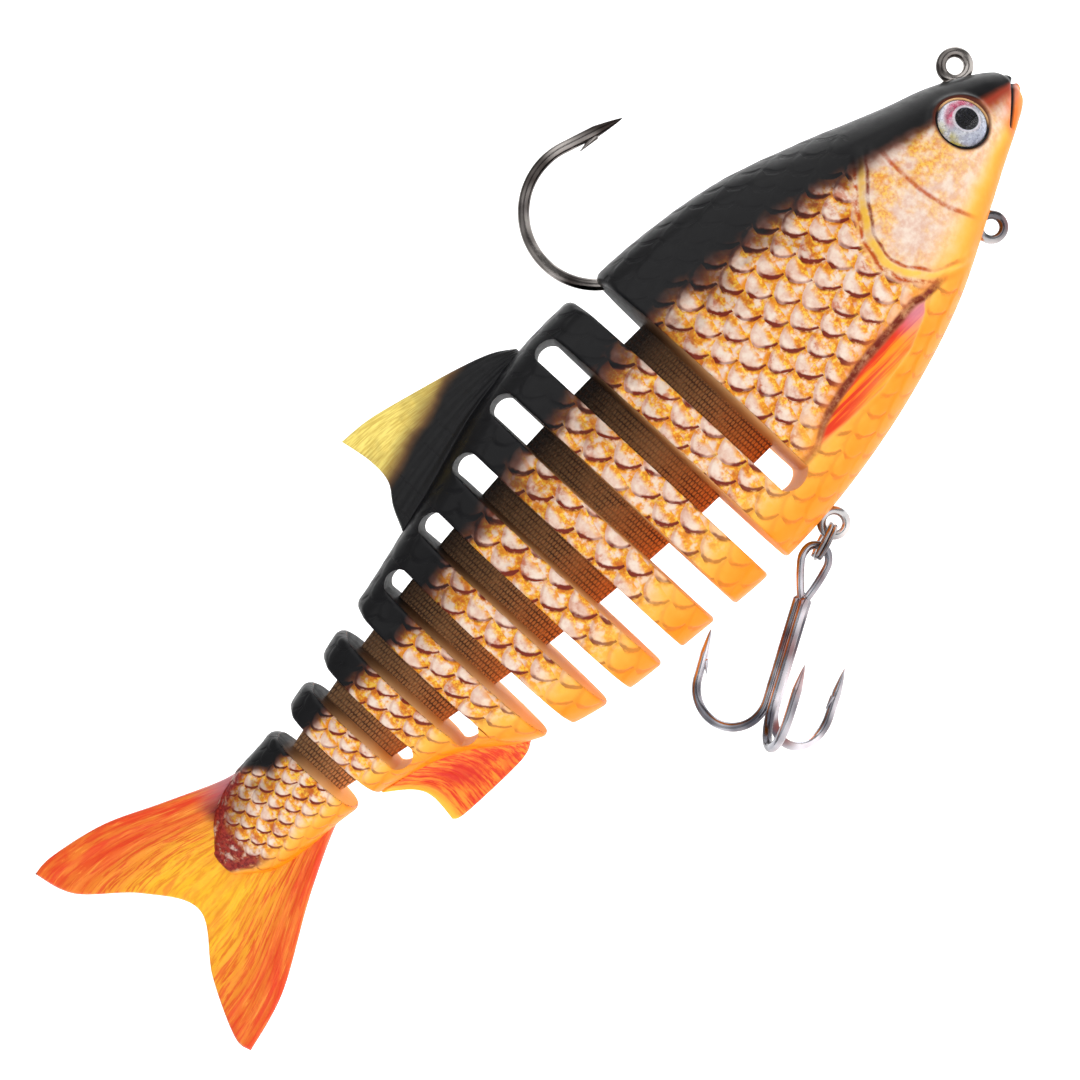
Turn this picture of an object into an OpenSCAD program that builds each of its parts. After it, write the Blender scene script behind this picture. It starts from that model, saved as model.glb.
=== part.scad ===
// Jointed soft-body swimbait: a carp-shaped body cut by nine slots, held together by a woven net.
// +X runs to the snout, +Z to the back, and the origin is the centre of the line-tie ring.

/* [Body] */
// Length from the snout to the tip of the tail fin
body_len = 150; // [120:1:190]
// Height of the deepest part of the body, without fins
body_height = 40; // [34:1:50]
// Width of the body at its widest
body_width = 19.4; // [16:0.2:24]
// Distance from the snout back to the line tie
tie_setback = 3.2; // [2:0.1:5]

/* [Slots] */
// Distance from the snout to the first slot
first_slot = 53; // [50:0.1:62]
// Distance between the first two slots
slot_pitch = 8.5; // [7.5:0.1:10.5]
// How much shorter each following slot spacing is
pitch_step = 0.2; // [0:0.05:0.3]
// Width of slot 1 in the middle plane, at the net
first_slot_width = 3.6; // [2.4:0.1:4.4]
// Width of the other slots in the middle plane
slot_width = 3; // [2:0.1:3.6]
// Draft of each slot wall, which makes the slot wider at the skin
slot_draft = 1.5; // [0.5:0.5:4]
// Lean of the slots, top towards the tail
slot_lean = 2.5; // [0:0.5:5]
// Thickness of the back webs over slots 2 to 6
back_web = 1.7; // [1.2:0.1:3]
// Thickness of the belly web under slot 1
throat_web = 5.2; // [3:0.1:7]
// Thickness of the belly webs under slots 7 and 8
belly_web = 1.4; // [1:0.1:2]

/* [Net] */
// Thickness of the woven net
net_thick = 0.6; // [0.4:0.1:1]
// How far each piece of net is moulded into the piece in front of it
net_grip = 2; // [1:0.1:2.4]

/* [Fins] */
// Thickness of the tail fin
tail_fin_thick = 1.5; // [1:0.1:2.5]
// Thickness of the dorsal and anal fins
fin_thick = 1.4; // [1:0.1:2]
// How far the root of the tail fin is buried in the tail
fin_root = 5; // [3:0.1:6]

/* [Top hook] */
// Wire diameter of the top hook
hook_wire = 1.45; // [1:0.05:1.8]
// Distance between the shank and the point of the top hook
hook_gape = 17.4; // [14:0.1:20]
// Length of the straight part that carries the point
hook_point = 8; // [6:0.1:10]
// Wire diameter of the line-tie ring
tie_wire = 1.25; // [1:0.05:1.5]
// Inner diameter of the line-tie ring
tie_bore = 2.05; // [1.8:0.05:2.6]

/* [Belly wire and ballast] */
// Wire diameter of the belly wire
belly_wire = 1.1; // [0.8:0.05:1.3]
// Inner diameter of the eyes of the belly wire
belly_bore = 1.9; // [1.8:0.05:2.6]
// Distance from the snout to the throat eye
throat_eye = 13.7; // [11:0.1:18]
// Diameter of the lead slug
slug_dia = 6.8; // [5:0.1:8]
// Length of the lead slug
slug_len = 15; // [10:0.5:18]

/* [Eyes] */
// Diameter of the eyes
eye_dia = 6.7; // [5:0.1:8]
// Distance from the snout to the centre of the eye
eye_setback = 9.1; // [8:0.1:11]
// Height of the clear dome over the iris
eye_dome = 1; // [0.6:0.1:1.4]

/* [Treble hook] */
// Wire diameter of the treble hook
treble_wire = 1.15; // [0.9:0.05:1.3]
// Distance from the shank to each point
treble_gape = 9.9; // [7:0.1:11]
// Length from the eye of the treble to its crown
treble_len = 24.3; // [20:0.1:28]
// Distance between the two sides of the split ring, middle of wire to middle of wire
ring_dia = 4.6; // [4.4:0.1:6]

/* [Hidden] */

$fn = 48;
fit = 0.05;             // clearance round a moulded-in metal piece or an eye in its socket
back_colour = [0.14, 0.14, 0.16];
flank_colour = [0.93, 0.84, 0.78];
fin_colour = [0.95, 0.55, 0.12];
net_colour = [0.25, 0.19, 0.1];
steel_colour = [0.62, 0.62, 0.66];

// Side and top outline, drawn for a body 150 long, 40 high and 19.4 wide, then scaled.
// Each row is the distance behind the snout, the back, the belly and half the width.
OUTLINE = [
    [0, -4.9, -7.7, 1.5],
    [0.7, -3.7, -8.9, 2.4],
    [3.2, -1.9, -10.4, 3.8],
    [8, 0.6, -12.8, 5.4],
    [13, 2.4, -15.4, 6.7],
    [23, 6.4, -20.4, 8.4],
    [33, 9.9, -23.8, 9.3],
    [43, 11.7, -26.1, 9.7],
    [53, 12.4, -27.4, 9.7],
    [63, 12.5, -27.6, 9.4],
    [73, 11.2, -26.7, 8.9],
    [83, 8.5, -25.7, 8.2],
    [91, 6.5, -23.9, 7.4],
    [97, 5.1, -21.3, 6.8],
    [103, 4, -16.9, 6.2],
    [111, 2.2, -14, 5.4],
    [119, 0.8, -12.6, 4.7],
    [124, 0.4, -12.2, 4],
    [129, -1.1, -11.2, 2.6],
    [132.5, -4.3, -8.6, 0.9]];
len_scale = body_len / 150;
height_scale = body_height / 40;
width_scale = body_width / 19.4;
snout_x = tie_setback;
tail_end = OUTLINE[len(OUTLINE) - 1][0];
mid_share = 0.5;        // height of the widest point, as a share of the section's height
rim = 0.4;              // half width of the flat strip along the back and the belly
lean = tan(slot_lean);
draft = tan(slot_draft);
lean_z = -7.5 * height_scale;   // height at which the slot positions are measured

function mix(a, b, t) = a + (b - a) * t;
function row_at(u, i = 0) = i >= len(OUTLINE) - 2 || u < OUTLINE[i + 1][0] ? i : row_at(u, i + 1);
function slope(i, k) = let (a = max(i - 1, 0), b = min(i + 1, len(OUTLINE) - 1))
    (OUTLINE[b][k] - OUTLINE[a][k]) / (OUTLINE[b][0] - OUTLINE[a][0]);
// A cubic through the rows of the outline, with the slope at each row taken from its neighbours.
function outline(u, k) = let (
        i = row_at(u), h = OUTLINE[i + 1][0] - OUTLINE[i][0],
        t = min(max((u - OUTLINE[i][0]) / h, 0), 1))
    (2 * t * t * t - 3 * t * t + 1) * OUTLINE[i][k] + (t * t * t - 2 * t * t + t) * h * slope(i, k)
    + (3 * t * t - 2 * t * t * t) * OUTLINE[i + 1][k] + (t * t * t - t * t) * h * slope(i + 1, k);
function back(x) = height_scale * outline((snout_x - x) / len_scale, 1);
function belly(x) = height_scale * outline((snout_x - x) / len_scale, 2);
function width(x) = width_scale * outline((snout_x - x) / len_scale, 3);
// Half width of the body at a height: a superellipse, fuller below than above.
function skin(x, z) = let (
        top = back(x), low = belly(x), mid = mix(low, top, mid_share),
        q = z > mid ? (z - mid) / (top - mid) : (mid - z) / (mid - low), n = z > mid ? 2.2 : 2.7)
    max(rim, width(x) * pow(max(0, 1 - pow(min(abs(q), 1), n)), 1 / n));

// Middle of slot i, from 1 to 9, at the height lean_z.
function slot_x(i) = snout_x
    - len_scale * (first_slot + (i - 1) * slot_pitch - pitch_step * (i - 1) * (i - 2) / 2);
function slot_wide(i) = i == 1 ? first_slot_width : slot_width;
function slot_front(i) = slot_x(i) + slot_wide(i) / 2;
function slot_rear(i) = slot_x(i) - slot_wide(i) / 2;
function leaned(x, z) = x - lean * (z - lean_z);
slots = 9;

// A solid with the body's skin between two faces that lean and open like a V towards the skin.
// lo and hi give its lowest and highest height at a distance along the body.
module loft(rear, front, leans, drafts, cols, lo, hi, ease = false, rows = 14) {
    ring = 2 * rows + 4;
    function share(s) = ease ? sin(90 * s / cols) : s / cols;
    function tilt(s) = mix(leans[0], leans[1], share(s));
    function shift(x, z, s) = x - tilt(s) * (z - lean_z);
    function height(s, j) = let (x = mix(rear, front, share(s)),
            low = lo(shift(x, lo(x), s)), top = hi(shift(x, hi(x), s)))
        mix(low, top, (1 - cos(180 * j / rows)) / 2);
    function spot(s, j, side) = let (z = height(s, j), x = shift(mix(rear, front, share(s)), z, s),
            y = side == 0 ? 0 : skin(x, z))
        [x + y * mix(drafts[0], drafts[1], share(s)), side * y, z];
    rings = [for (s = [0:cols]) each [spot(s, 0, 0), for (j = [0:rows]) spot(s, j, 1),
        spot(s, rows, 0), for (j = [rows:-1:0]) spot(s, j, -1)]];
    mids = [for (s = [0, cols], j = [1:rows - 1]) spot(s, j, 0)];
    function plus(s, j) = s * ring + 1 + j;
    function minus(s, j) = s * ring + 2 * rows + 3 - j;
    function middle(e, j) = j == 0 ? e * cols * ring : j == rows ? e * cols * ring + rows + 2
        : len(rings) + e * (rows - 1) + j - 1;
    walls = [for (s = [0:cols - 1], k = [0:ring - 1]) let (m = (k + 1) % ring)
        [s * ring + k, (s + 1) * ring + k, (s + 1) * ring + m, s * ring + m]];
    ends = [for (j = [0:rows - 1]) each [
        [middle(1, j), middle(1, j + 1), plus(cols, j + 1), plus(cols, j)],
        [minus(cols, j), minus(cols, j + 1), middle(1, j + 1), middle(1, j)],
        [plus(0, j), plus(0, j + 1), middle(0, j + 1), middle(0, j)],
        [middle(0, j), middle(0, j + 1), minus(0, j + 1), minus(0, j)]]];
    polyhedron(concat(rings, mids), concat(walls, ends));
}

// A flat plate in the middle plane, from an outline in x and z.
module plate(points, thick) {
    rotate([90, 0, 0]) linear_extrude(height = thick, center = true) polygon(points);
}

// A smooth closed or open run of points through the ones given.
function catmull(a, b, c, d, t) = 0.5 * ((2 * b) + (c - a) * t + (2 * a - 5 * b + 4 * c - d) * t * t
    + (3 * b - a - 3 * c + d) * t * t * t);
function curve(p, steps = 4) = let (n = len(p) - 1) [for (i = [0:n - 1], k = [0:steps - 1])
    catmull(p[max(i - 1, 0)], p[i], p[i + 1], p[min(i + 2, n)], k / steps), p[n]];
// Outline points drawn on the 150 by 40 body, scaled to this one.
function placed(p) = [for (q = p) [snout_x - len_scale * q[0], height_scale * q[1]]];

// Everything between two leaning planes.
module band(rear, front) {
    far = 2 * body_height;
    plate([[leaned(rear, -far), -far], [leaned(front, -far), -far],
        [leaned(front, far), far], [leaned(rear, far), far]], far);
}

dorsal_edge = [[64.5, 12.9], [67, 14.6], [71, 16.1], [77, 17.8], [83, 19.3], [87.3, 19.7]];
dorsal_back = [[87.3, 19.7], [86.5, 15.6], [86.7, 12.4], [88.4, 9.8], [89.8, 6.6]];
anal_edge = [[96.3, -21.8], [99, -22.7], [107.9, -22.5], [109.7, -21.9]];
anal_back = [[109.7, -21.9], [109.5, -18.3], [110.6, -16], [113.5, -13.6]];
module dorsal_fin() {
    root = [for (u = [89.8:-2.53:64.5]) [u, outline(u, 1) - 1]];
    plate(placed(concat(curve(dorsal_edge), curve(dorsal_back), root)), fin_thick);
}
module anal_fin() {
    root = [for (u = [113.5:-2.15:96.3]) [u, outline(u, 2) + 1]];
    plate(placed(concat(curve(anal_edge), curve(anal_back), root)), fin_thick);
}
// The part of a fin that stands between two leaning planes.
module fin_strip(rear, front) {
    intersection() {
        children();
        band(rear + fit, front - fit);
    }
}

module section(i) {
    rear = slot_front(i + 1);
    front = slot_rear(i);
    color(flank_colour) union() {
        loft(rear, front, [lean, lean], [draft, -draft], 3,
            function (x) belly(x), function (x) back(x));
        if (i >= 2 && i <= 5) fin_strip(rear, front) dorsal_fin();
        if (i >= 6 && i <= 8) fin_strip(rear, front) anal_fin();
    }
}

// Rounding of a slot's closed end: how far its edge has moved on from the middle of the slot.
function arch(x, i) = let (t = min(abs(x - slot_x(i)) / slot_wide(i) * 1.9, 0.96))
    0.45 * slot_wide(i) * (1 - sqrt(1 - t * t));
module web_back(i) {
    color(back_colour) union() {
        loft(slot_rear(i), slot_front(i), [lean, lean], [-draft, draft], 6,
            function (x) back(slot_x(i)) - back_web - arch(x + lean * (back(x) - lean_z), i),
            function (x) back(x), rows = 8);
        if (i >= 3 && i <= 5) fin_strip(slot_rear(i), slot_front(i)) dorsal_fin();
    }
}
module web_belly(i, thick) {
    color(fin_colour) difference() {
        union() {
            loft(slot_rear(i), slot_front(i), [lean, lean], [-draft, draft], 6,
                function (x) belly(x),
                function (x) belly(slot_x(i)) + thick + arch(x + lean * (belly(x) - lean_z), i), rows = 8);
            if (i >= 7) fin_strip(slot_rear(i), slot_front(i)) anal_fin();
        }
        if (i == 1) harness_wire(fit);
    }
}

// The net narrows from the head to the tail.
function net_share(x) = (x - slot_x(1)) / (slot_x(slots) - slot_x(1));
function net_top(x) = height_scale * (4.2 - 6 * pow(max(net_share(x), 0), 2.2));
function net_low(x) = height_scale * (-17 + 6.7 * pow(max(net_share(x), 0), 2));
module net(i) {
    rear = slot_rear(i);
    front = slot_front(i) + net_grip;
    color(net_colour) plate([
        [leaned(rear, net_low(rear)), net_low(rear)], [leaned(front, net_low(front)), net_low(front)],
        [leaned(front, net_top(front)), net_top(front)], [leaned(rear, net_top(rear)), net_top(rear)]],
        net_thick);
}

// Straight wire between two points of the middle plane, with an optional taper.
module wire(a, b, r, r_end = -1) {
    translate([a[0], 0, a[1]]) rotate([0, atan2(b[0] - a[0], b[1] - a[1]), 0])
        cylinder(h = norm(b - a), r1 = r, r2 = r_end < 0 ? r : r_end);
}
// Wire bent round a centre in the middle plane, from one angle to another.
module bend(centre, radius, from, to, r) {
    translate([centre[0], 0, centre[1]]) rotate([90, 0, 0]) rotate([0, 0, from])
        rotate_extrude(angle = to - from) translate([radius, 0]) circle(r);
}
// Ball that joins two lengths of wire, a little fuller than they are.
module knuckle(p, r) {
    translate([p[0], 0, p[1]]) sphere(r + 0.02);
}
function polar(centre, radius, angle) = centre + radius * [cos(angle), sin(angle)];

// Top hook: the bend leaves the back at the rear of the head, and the shank runs tangent to the bend
// down to the foot of the line-tie ring.
hook_r = hook_wire / 2;
bend_r = hook_gape / 2;
hook_ahead = 6.8;       // how far the middle of the bend stands in front of the first slot
hook_rise = 5.4;        // how far it stands above the back
bend_centre = [slot_x(1) + hook_ahead, back(slot_x(1)) + hook_rise];
tie_r = (tie_bore + tie_wire) / 2;
tie_foot = [0, -tie_r];
foot_gap = norm(tie_foot - bend_centre);
foot_angle = atan2(tie_foot[1] - bend_centre[1], tie_foot[0] - bend_centre[0]);
shank_angle = 360 + foot_angle - acos(bend_r / foot_gap);
point_angle = 72;
point_dir = [sin(point_angle), -cos(point_angle)];
point_start = polar(bend_centre, bend_r, point_angle);
point_len = 3.4;        // length of the ground point
barb_back = 6.6;        // distance from the tip to the barb
module hook_steel(grow = 0) {
    wire(tie_foot, polar(bend_centre, bend_r, shank_angle), hook_r + grow);
    knuckle(polar(bend_centre, bend_r, shank_angle), hook_r + grow);
    bend(bend_centre, bend_r, point_angle, shank_angle, hook_r + grow);
    bend([0, 0], tie_r, 0, 360, tie_wire / 2 + grow);
}
module jig_hook() {
    tip = point_start + hook_point * point_dir;
    color(steel_colour) union() {
        hook_steel();
        knuckle(point_start, hook_r);
        wire(point_start, tip - point_len * point_dir, hook_r);
        knuckle(tip - point_len * point_dir, hook_r);
        wire(tip - point_len * point_dir, tip, hook_r, 0.06);
        barb(tip - barb_back * point_dir, tip - (barb_back - 2.4) * point_dir, hook_r, -1);
    }
}
// A barb: a small cone that leaves the wire at its heel and stands off at its tip.
module barb(tip, heel, r, side) {
    along = (heel - tip) / norm(heel - tip);
    out = [-along[1], along[0]] * side;
    wire(heel, tip + out * r * 1.5, r * 0.7, r * 0.12);
}

// Belly wire: the throat eye, a run through the lead slug, and the belly eye under the first slot.
wire_r = belly_wire / 2;
eye_r = (belly_bore + belly_wire) / 2;
throat_drop = 1.1;      // how far the middle of the throat eye hangs below the skin
belly_drop = 1.4;       // how far the middle of the belly eye hangs below the skin
throat = [snout_x - len_scale * throat_eye, belly(snout_x - len_scale * throat_eye) - throat_drop];
belly_eye = [leaned(slot_x(1), belly(slot_x(1))), belly(slot_x(1)) - belly_drop];
run_front = [throat[0] - 3.5, throat[1] + 5.6];
run_rear = [belly_eye[0] + 5, belly_eye[1] + 5];
slug_mid = mix(run_front, run_rear, 0.52);
run_dir = (run_rear - run_front) / norm(run_rear - run_front);
overlap = 0.2;          // how far the middle run reaches into the wire at each of its ends
module harness_wire(grow = 0) {
    bend(throat, eye_r, 0, 360, wire_r + grow);
    wire(throat + [-0.2, eye_r], run_front, wire_r + grow);
    knuckle(run_front, wire_r + grow);
    wire(run_front - overlap * run_dir, run_rear + overlap * run_dir, wire_r + grow);
    knuckle(run_rear, wire_r + grow);
    wire(run_rear, belly_eye + [0.2, eye_r], wire_r + grow);
    bend(belly_eye, eye_r, 0, 360, wire_r + grow);
}
module belly_harness() {
    color(steel_colour) union() harness_wire();
}
module slug(grow = 0) {
    half = slug_len / 2 - slug_dia / 4;
    translate([slug_mid[0], 0, slug_mid[1]]) rotate([0, atan2(run_dir[0], run_dir[1]), 0])
        union() {
            cylinder(h = 2 * half, r = slug_dia / 2 + grow, center = true);
            for (s = [0, 1]) mirror([0, 0, s]) translate([0, 0, half])
                cylinder(h = slug_dia / 4 + grow, r1 = slug_dia / 2 + grow, r2 = slug_dia / 4 + grow);
        }
}
module ballast() {
    color([0.45, 0.46, 0.48]) difference() {
        slug();
        wire(run_front, run_rear, wire_r + fit);
    }
}

// Eyes: a flat iris in a socket, under a clear dome. side is -1 for the right eye and 1 for the left.
eye_x = snout_x - len_scale * eye_setback;
eye_z = mix(belly(eye_x), back(eye_x), 0.54);
eye_yaw = 17;
eye_pitch = 5;
iris_thick = 0.8;
iris_sink = 1;          // depth of the bottom of the iris below the skin at its centre
dome_r = (pow(eye_dia / 2, 2) + eye_dome * eye_dome) / (2 * eye_dome);
module at_eye(side) {
    mirror([0, (side + 1) / 2, 0]) translate([eye_x, -skin(eye_x, eye_z), eye_z])
        rotate([0, 0, eye_yaw]) rotate([-eye_pitch, 0, 0]) rotate([90, 0, 0]) translate([0, 0, -iris_sink])
            children();
}
module iris(side) {
    color([0.9, 0.9, 0.88]) at_eye(side) cylinder(h = iris_thick, r = eye_dia / 2);
}
module lens(side) {
    rise = asin(eye_dia / 2 / dome_r);
    color([0.85, 0.9, 0.95]) at_eye(side) translate([0, 0, iris_thick]) rotate_extrude()
        polygon([[0, 0], for (k = [8:-1:0]) let (a = rise * k / 8)
            [dome_r * sin(a), eye_dome - dome_r * (1 - cos(a))]]);
}

module head_body() {
    color(back_colour) difference() {
        loft(slot_front(1), snout_x, [lean, 0], [draft, 0], 20,
            function (x) belly(x), function (x) back(x), ease = true);
        hook_steel(fit);
        harness_wire(fit);
        slug(fit);
        for (side = [-1, 1]) at_eye(side) cylinder(h = 4, r = eye_dia / 2 + fit);
    }
}

module tail_section() {
    color(flank_colour) loft(snout_x - len_scale * tail_end, slot_rear(slots), [0, lean], [0, -draft], 9,
        function (x) belly(x), function (x) back(x));
}
tail_upper = [[122, 0], [126, 0.9], [133, 4], [140, 7.2], [147, 8.8], [150, 8.7]];
tail_rear = [[150, 8.7], [148.3, 3.7], [142.5, -2], [139, -8.3], [143.5, -15], [146.6, -22]];
tail_lower = [[146.6, -22], [146.3, -24.6], [139, -22.4], [130, -17.2], [122.5, -12.6]];
module tail_fin() {
    root = tail_end - fin_root;
    front_edge = [[122.5, -12.6], [root - 2.4, -11.6], [root, -6], [root - 2.4, -1], [122, 0]];
    color(fin_colour) plate(placed(concat(curve(tail_upper), curve(tail_rear), curve(tail_lower),
        curve(front_edge))), tail_fin_thick);
}

// Split ring: two turns of flat wire through the belly eye and the eye of the treble hook.
ring_pitch = -18;       // slope of the ring's plane, down towards the tail
ring_dir = [-cos(ring_pitch), sin(ring_pitch)];
ring_wire = 0.6;
ring_near = belly_eye + 0.2 * ring_dir;
ring_centre = ring_near + ring_dia / 2 * ring_dir;
ring_far = ring_near + ring_dia * ring_dir;
module split_ring() {
    color(steel_colour) translate([ring_centre[0], 0, ring_centre[1]]) rotate([0, ring_pitch, 0])
        rotate_extrude() for (s = [-1, 1]) translate([ring_dia / 2, s * 0.45 * ring_wire])
            circle(ring_wire / 2);
}

// Treble hook, drawn with its shank along x and turned to hang behind the split ring.
treble_pitch = 28.5;    // slope of the shank, down towards the tail
treble_phase = 24;      // turn of the single hook away from straight up
treble_r = treble_wire / 2;
treble_eye_r = 1.75;
eye_front = -1.6;       // front of the treble's eye, from the middle of the split ring's wire
crown = eye_front + treble_len;
shank_off = treble_wire / sqrt(3);      // middle of each of the three shanks from the treble's axis
crook_r = (treble_gape - shank_off) / 2;
crook_x = crown - crook_r;
eye_foot = 5.2;         // where the legs of the eye join the shank
treble_tip = 10.8;      // distance from the crown back to each point
treble_point = 3;       // length of each ground point
module at_treble() {
    translate([ring_far[0], 0, ring_far[1]]) rotate([0, -treble_pitch, 0]) rotate([0, 0, 180]) children();
}
module treble_hook(phase) {
    rotate([phase, 0, 0]) {
        wire([eye_foot - 0.6, shank_off], [crook_x, shank_off], treble_r);
        bend([crook_x, shank_off + crook_r], crook_r, -90, 90, treble_r);
        wire([crook_x, treble_gape], [crown - treble_tip + treble_point, treble_gape], treble_r);
        wire([crown - treble_tip + treble_point, treble_gape], [crown - treble_tip, treble_gape + 0.2],
            treble_r, 0.05);
        barb([crown - treble_tip + 5, treble_gape], [crown - treble_tip + 3, treble_gape], treble_r, 1);
    }
}
module treble_single() {
    color(steel_colour) at_treble() treble_hook(treble_phase);
}
module treble_double() {
    color(steel_colour) at_treble() union() {
        for (turn = [120, 240]) treble_hook(treble_phase + turn);
        bend([eye_front + treble_eye_r, 0], treble_eye_r, 0, 360, 0.5);
        for (s = [-1, 1]) wire([eye_front + 2.3 * treble_eye_r, s * treble_eye_r * 0.72],
            [eye_foot, s * 0.2], 0.5);
    }
}

head_body();
for (i = [1:slots - 1]) section(i);
tail_section();
tail_fin();
web_belly(1, throat_web);  // belly_web_1
for (i = [2:6]) web_back(i);
for (i = [7, 8]) web_belly(i, belly_web);
for (i = [1:slots]) net(i);
iris(1);  // iris_left
iris(-1);  // iris_right
lens(1);  // lens_left
lens(-1);  // lens_right
jig_hook();
belly_harness();
ballast();
split_ring();
treble_double();
treble_single();
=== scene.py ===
import math
import bmesh
import bpy
import numpy as np
from mathutils import Matrix, Vector


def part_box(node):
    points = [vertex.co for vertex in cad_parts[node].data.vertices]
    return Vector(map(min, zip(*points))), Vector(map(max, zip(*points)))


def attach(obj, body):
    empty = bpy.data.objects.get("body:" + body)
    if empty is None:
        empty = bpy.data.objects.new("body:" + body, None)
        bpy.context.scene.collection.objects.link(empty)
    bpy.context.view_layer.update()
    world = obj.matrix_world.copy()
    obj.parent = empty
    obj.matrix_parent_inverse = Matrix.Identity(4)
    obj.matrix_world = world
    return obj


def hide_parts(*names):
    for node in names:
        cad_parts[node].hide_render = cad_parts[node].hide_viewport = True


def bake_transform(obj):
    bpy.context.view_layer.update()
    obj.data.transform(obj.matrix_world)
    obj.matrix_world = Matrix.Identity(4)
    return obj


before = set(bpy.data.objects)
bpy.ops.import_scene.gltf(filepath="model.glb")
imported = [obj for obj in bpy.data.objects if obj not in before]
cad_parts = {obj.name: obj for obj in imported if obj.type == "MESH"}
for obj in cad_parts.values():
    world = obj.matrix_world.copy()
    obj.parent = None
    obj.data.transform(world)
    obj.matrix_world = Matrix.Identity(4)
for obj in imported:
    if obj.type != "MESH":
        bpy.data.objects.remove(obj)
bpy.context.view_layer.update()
scene = bpy.context.scene
scene.view_settings.view_transform = "Standard"

# All the shapes are worked out in millimetres and turned to metres as each mesh is made.
mm = 0.001

# The camera looks squarely at the side, and the shift centres the whole object in the picture.
view = {"eye": (-66, -200, -7.5), "roll": -44.7, "lens": 55.5, "shift": (-0.063, -0.04)}
cameraData = bpy.data.cameras.new("camera")
cameraData.lens = view["lens"]
cameraData.clip_start = 0.01
cameraData.shift_x, cameraData.shift_y = view["shift"]
camera = bpy.data.objects.new("camera", cameraData)
scene.collection.objects.link(camera)
upright = Matrix.Rotation(math.radians(90), 4, "X")
camera.matrix_world = (Matrix.Translation(Vector(view["eye"]) * mm) @ upright
                       @ Matrix.Rotation(math.radians(view["roll"]), 4, "Z"))
scene.camera = camera

body = {
    "snout": 3.2,                          # how far the snout is in front of the line tie
    "slots": [-49.8, -58.3, -66.6, -74.7, -82.6, -90.3, -97.8, -105.1, -112.2],
    "slotWide": [3.6, 3, 3, 3, 3, 3, 3, 3, 3],
    "lean": math.tan(math.radians(2.5)),   # tops of the slots lean towards the tail
    "draft": math.tan(math.radians(1.5)),  # slots open towards the skin
    "leanZ": -7.5,
    "rimRound": 0.4,                       # rounding of the edges of the slots
    "topRound": 1.1,                       # and of the open ones at the back
    "backWeb": 1.7, "throatWeb": 5.2, "bellyWeb": 1.4,
    "rows": 150,                           # points from belly to back on each side
}
# distance behind the snout, back, belly, half width
outlineRows = np.array([
    [0, -4.9, -7.7, 1.5], [0.7, -3.7, -8.9, 2.4], [3.2, -1.9, -10.4, 3.8], [8, 0.6, -12.8, 5.4],
    [13, 2.4, -15.4, 6.7], [23, 6.4, -20.4, 8.4], [33, 9.9, -23.8, 9.3], [43, 11.7, -26.1, 9.7],
    [53, 12.4, -27.4, 9.7], [63, 12.5, -27.6, 9.4], [73, 11.2, -26.7, 8.9], [83, 8.5, -25.7, 8.2],
    [91, 6.5, -23.9, 7.4], [97, 5.1, -21.3, 6.8], [103, 4, -16.9, 6.2], [111, 2.2, -14, 5.4],
    [119, 0.8, -12.6, 4.7], [124, 0.4, -12.2, 4], [129, -1.1, -11.2, 2.6], [132.5, -4.3, -8.6, 0.9]])
ends = np.clip(np.arange(len(outlineRows))[:, None] + [-1, 1], 0, len(outlineRows) - 1)
outlineSlopes = (outlineRows[ends[:, 1]] - outlineRows[ends[:, 0]]) / (
    outlineRows[ends[:, 1], :1] - outlineRows[ends[:, 0], :1])


def smooth(a, b, x):  # 0 before a, 1 after b, an S curve between
    t = np.clip((x - a) / (b - a), 0, 1)
    return t * t * (3 - 2 * t)


def mix(a, b, t):
    return a + (b - a) * t


def outline(x, column):  # cubic between the rows, each row's slope from its two neighbours
    u = body["snout"] - np.asarray(x, float)
    i = np.clip(np.searchsorted(outlineRows[:, 0], u, side="right") - 1, 0, len(outlineRows) - 2)
    h = outlineRows[i + 1, 0] - outlineRows[i, 0]
    t = np.clip((u - outlineRows[i, 0]) / h, 0, 1)
    first, second = outlineRows[i, column], outlineRows[i + 1, column]
    firstSlope, secondSlope = h * outlineSlopes[i, column], h * outlineSlopes[i + 1, column]
    return ((2 * t**3 - 3 * t**2 + 1) * first + (t**3 - 2 * t**2 + t) * firstSlope
            + (3 * t**2 - 2 * t**3) * second + (t**3 - t**2) * secondSlope)


def back(x):
    return outline(x, 1)


def belly(x):
    return outline(x, 2)


def skin(x, z):  # half width: a superellipse between belly and back, fuller below than above
    top, low = back(x), belly(x)
    mid = (top + low) / 2
    q = np.clip(np.abs(z - mid) / (top - mid), 0, 1)
    n = np.where(z > mid, 2.2, 2.7)
    return outline(x, 3) * (1 - q**n) ** (1 / n)


def around(x, v):  # the skin at a station: v runs from 0 at the belly to 1 at the back
    z = mix(belly(x), back(x), (1 - np.cos(np.pi * v)) / 2)
    return np.stack([x + 0 * z, skin(x, z), z], -1)


def shareOf(x, z):  # height as a share of the section, 0 at the belly and 1 at the back
    return np.clip((z - belly(x)) / (back(x) - belly(x)), 0, 1)


def skinNormal(x, z):  # cross product of the steps along the body and round it
    v = np.clip(np.arccos(1 - 2 * shareOf(x, z)) / np.pi, 0.004, 0.996)
    along = around(x + 0.15, v) - around(x - 0.15, v)
    up = around(x, v + 0.003) - around(x, v - 0.003)
    n = np.cross(along, up)
    n *= np.where(n[..., 1:2] < 0, -1, 1)
    return n / np.linalg.norm(n, axis=-1, keepdims=True)


# How far round the skin each height is from the middle line, at stations half a millimetre apart.
stations = np.arange(-130, 3.5, 0.5)
turnShares = np.linspace(0, 1, 201)
rounds = around(stations[:, None], turnShares[None])
arcs = np.concatenate([np.zeros((len(stations), 1)),
                       np.cumsum(np.linalg.norm(np.diff(rounds, axis=1), axis=-1), 1)], 1)
arcs -= arcs[:, 100:101]

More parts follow.
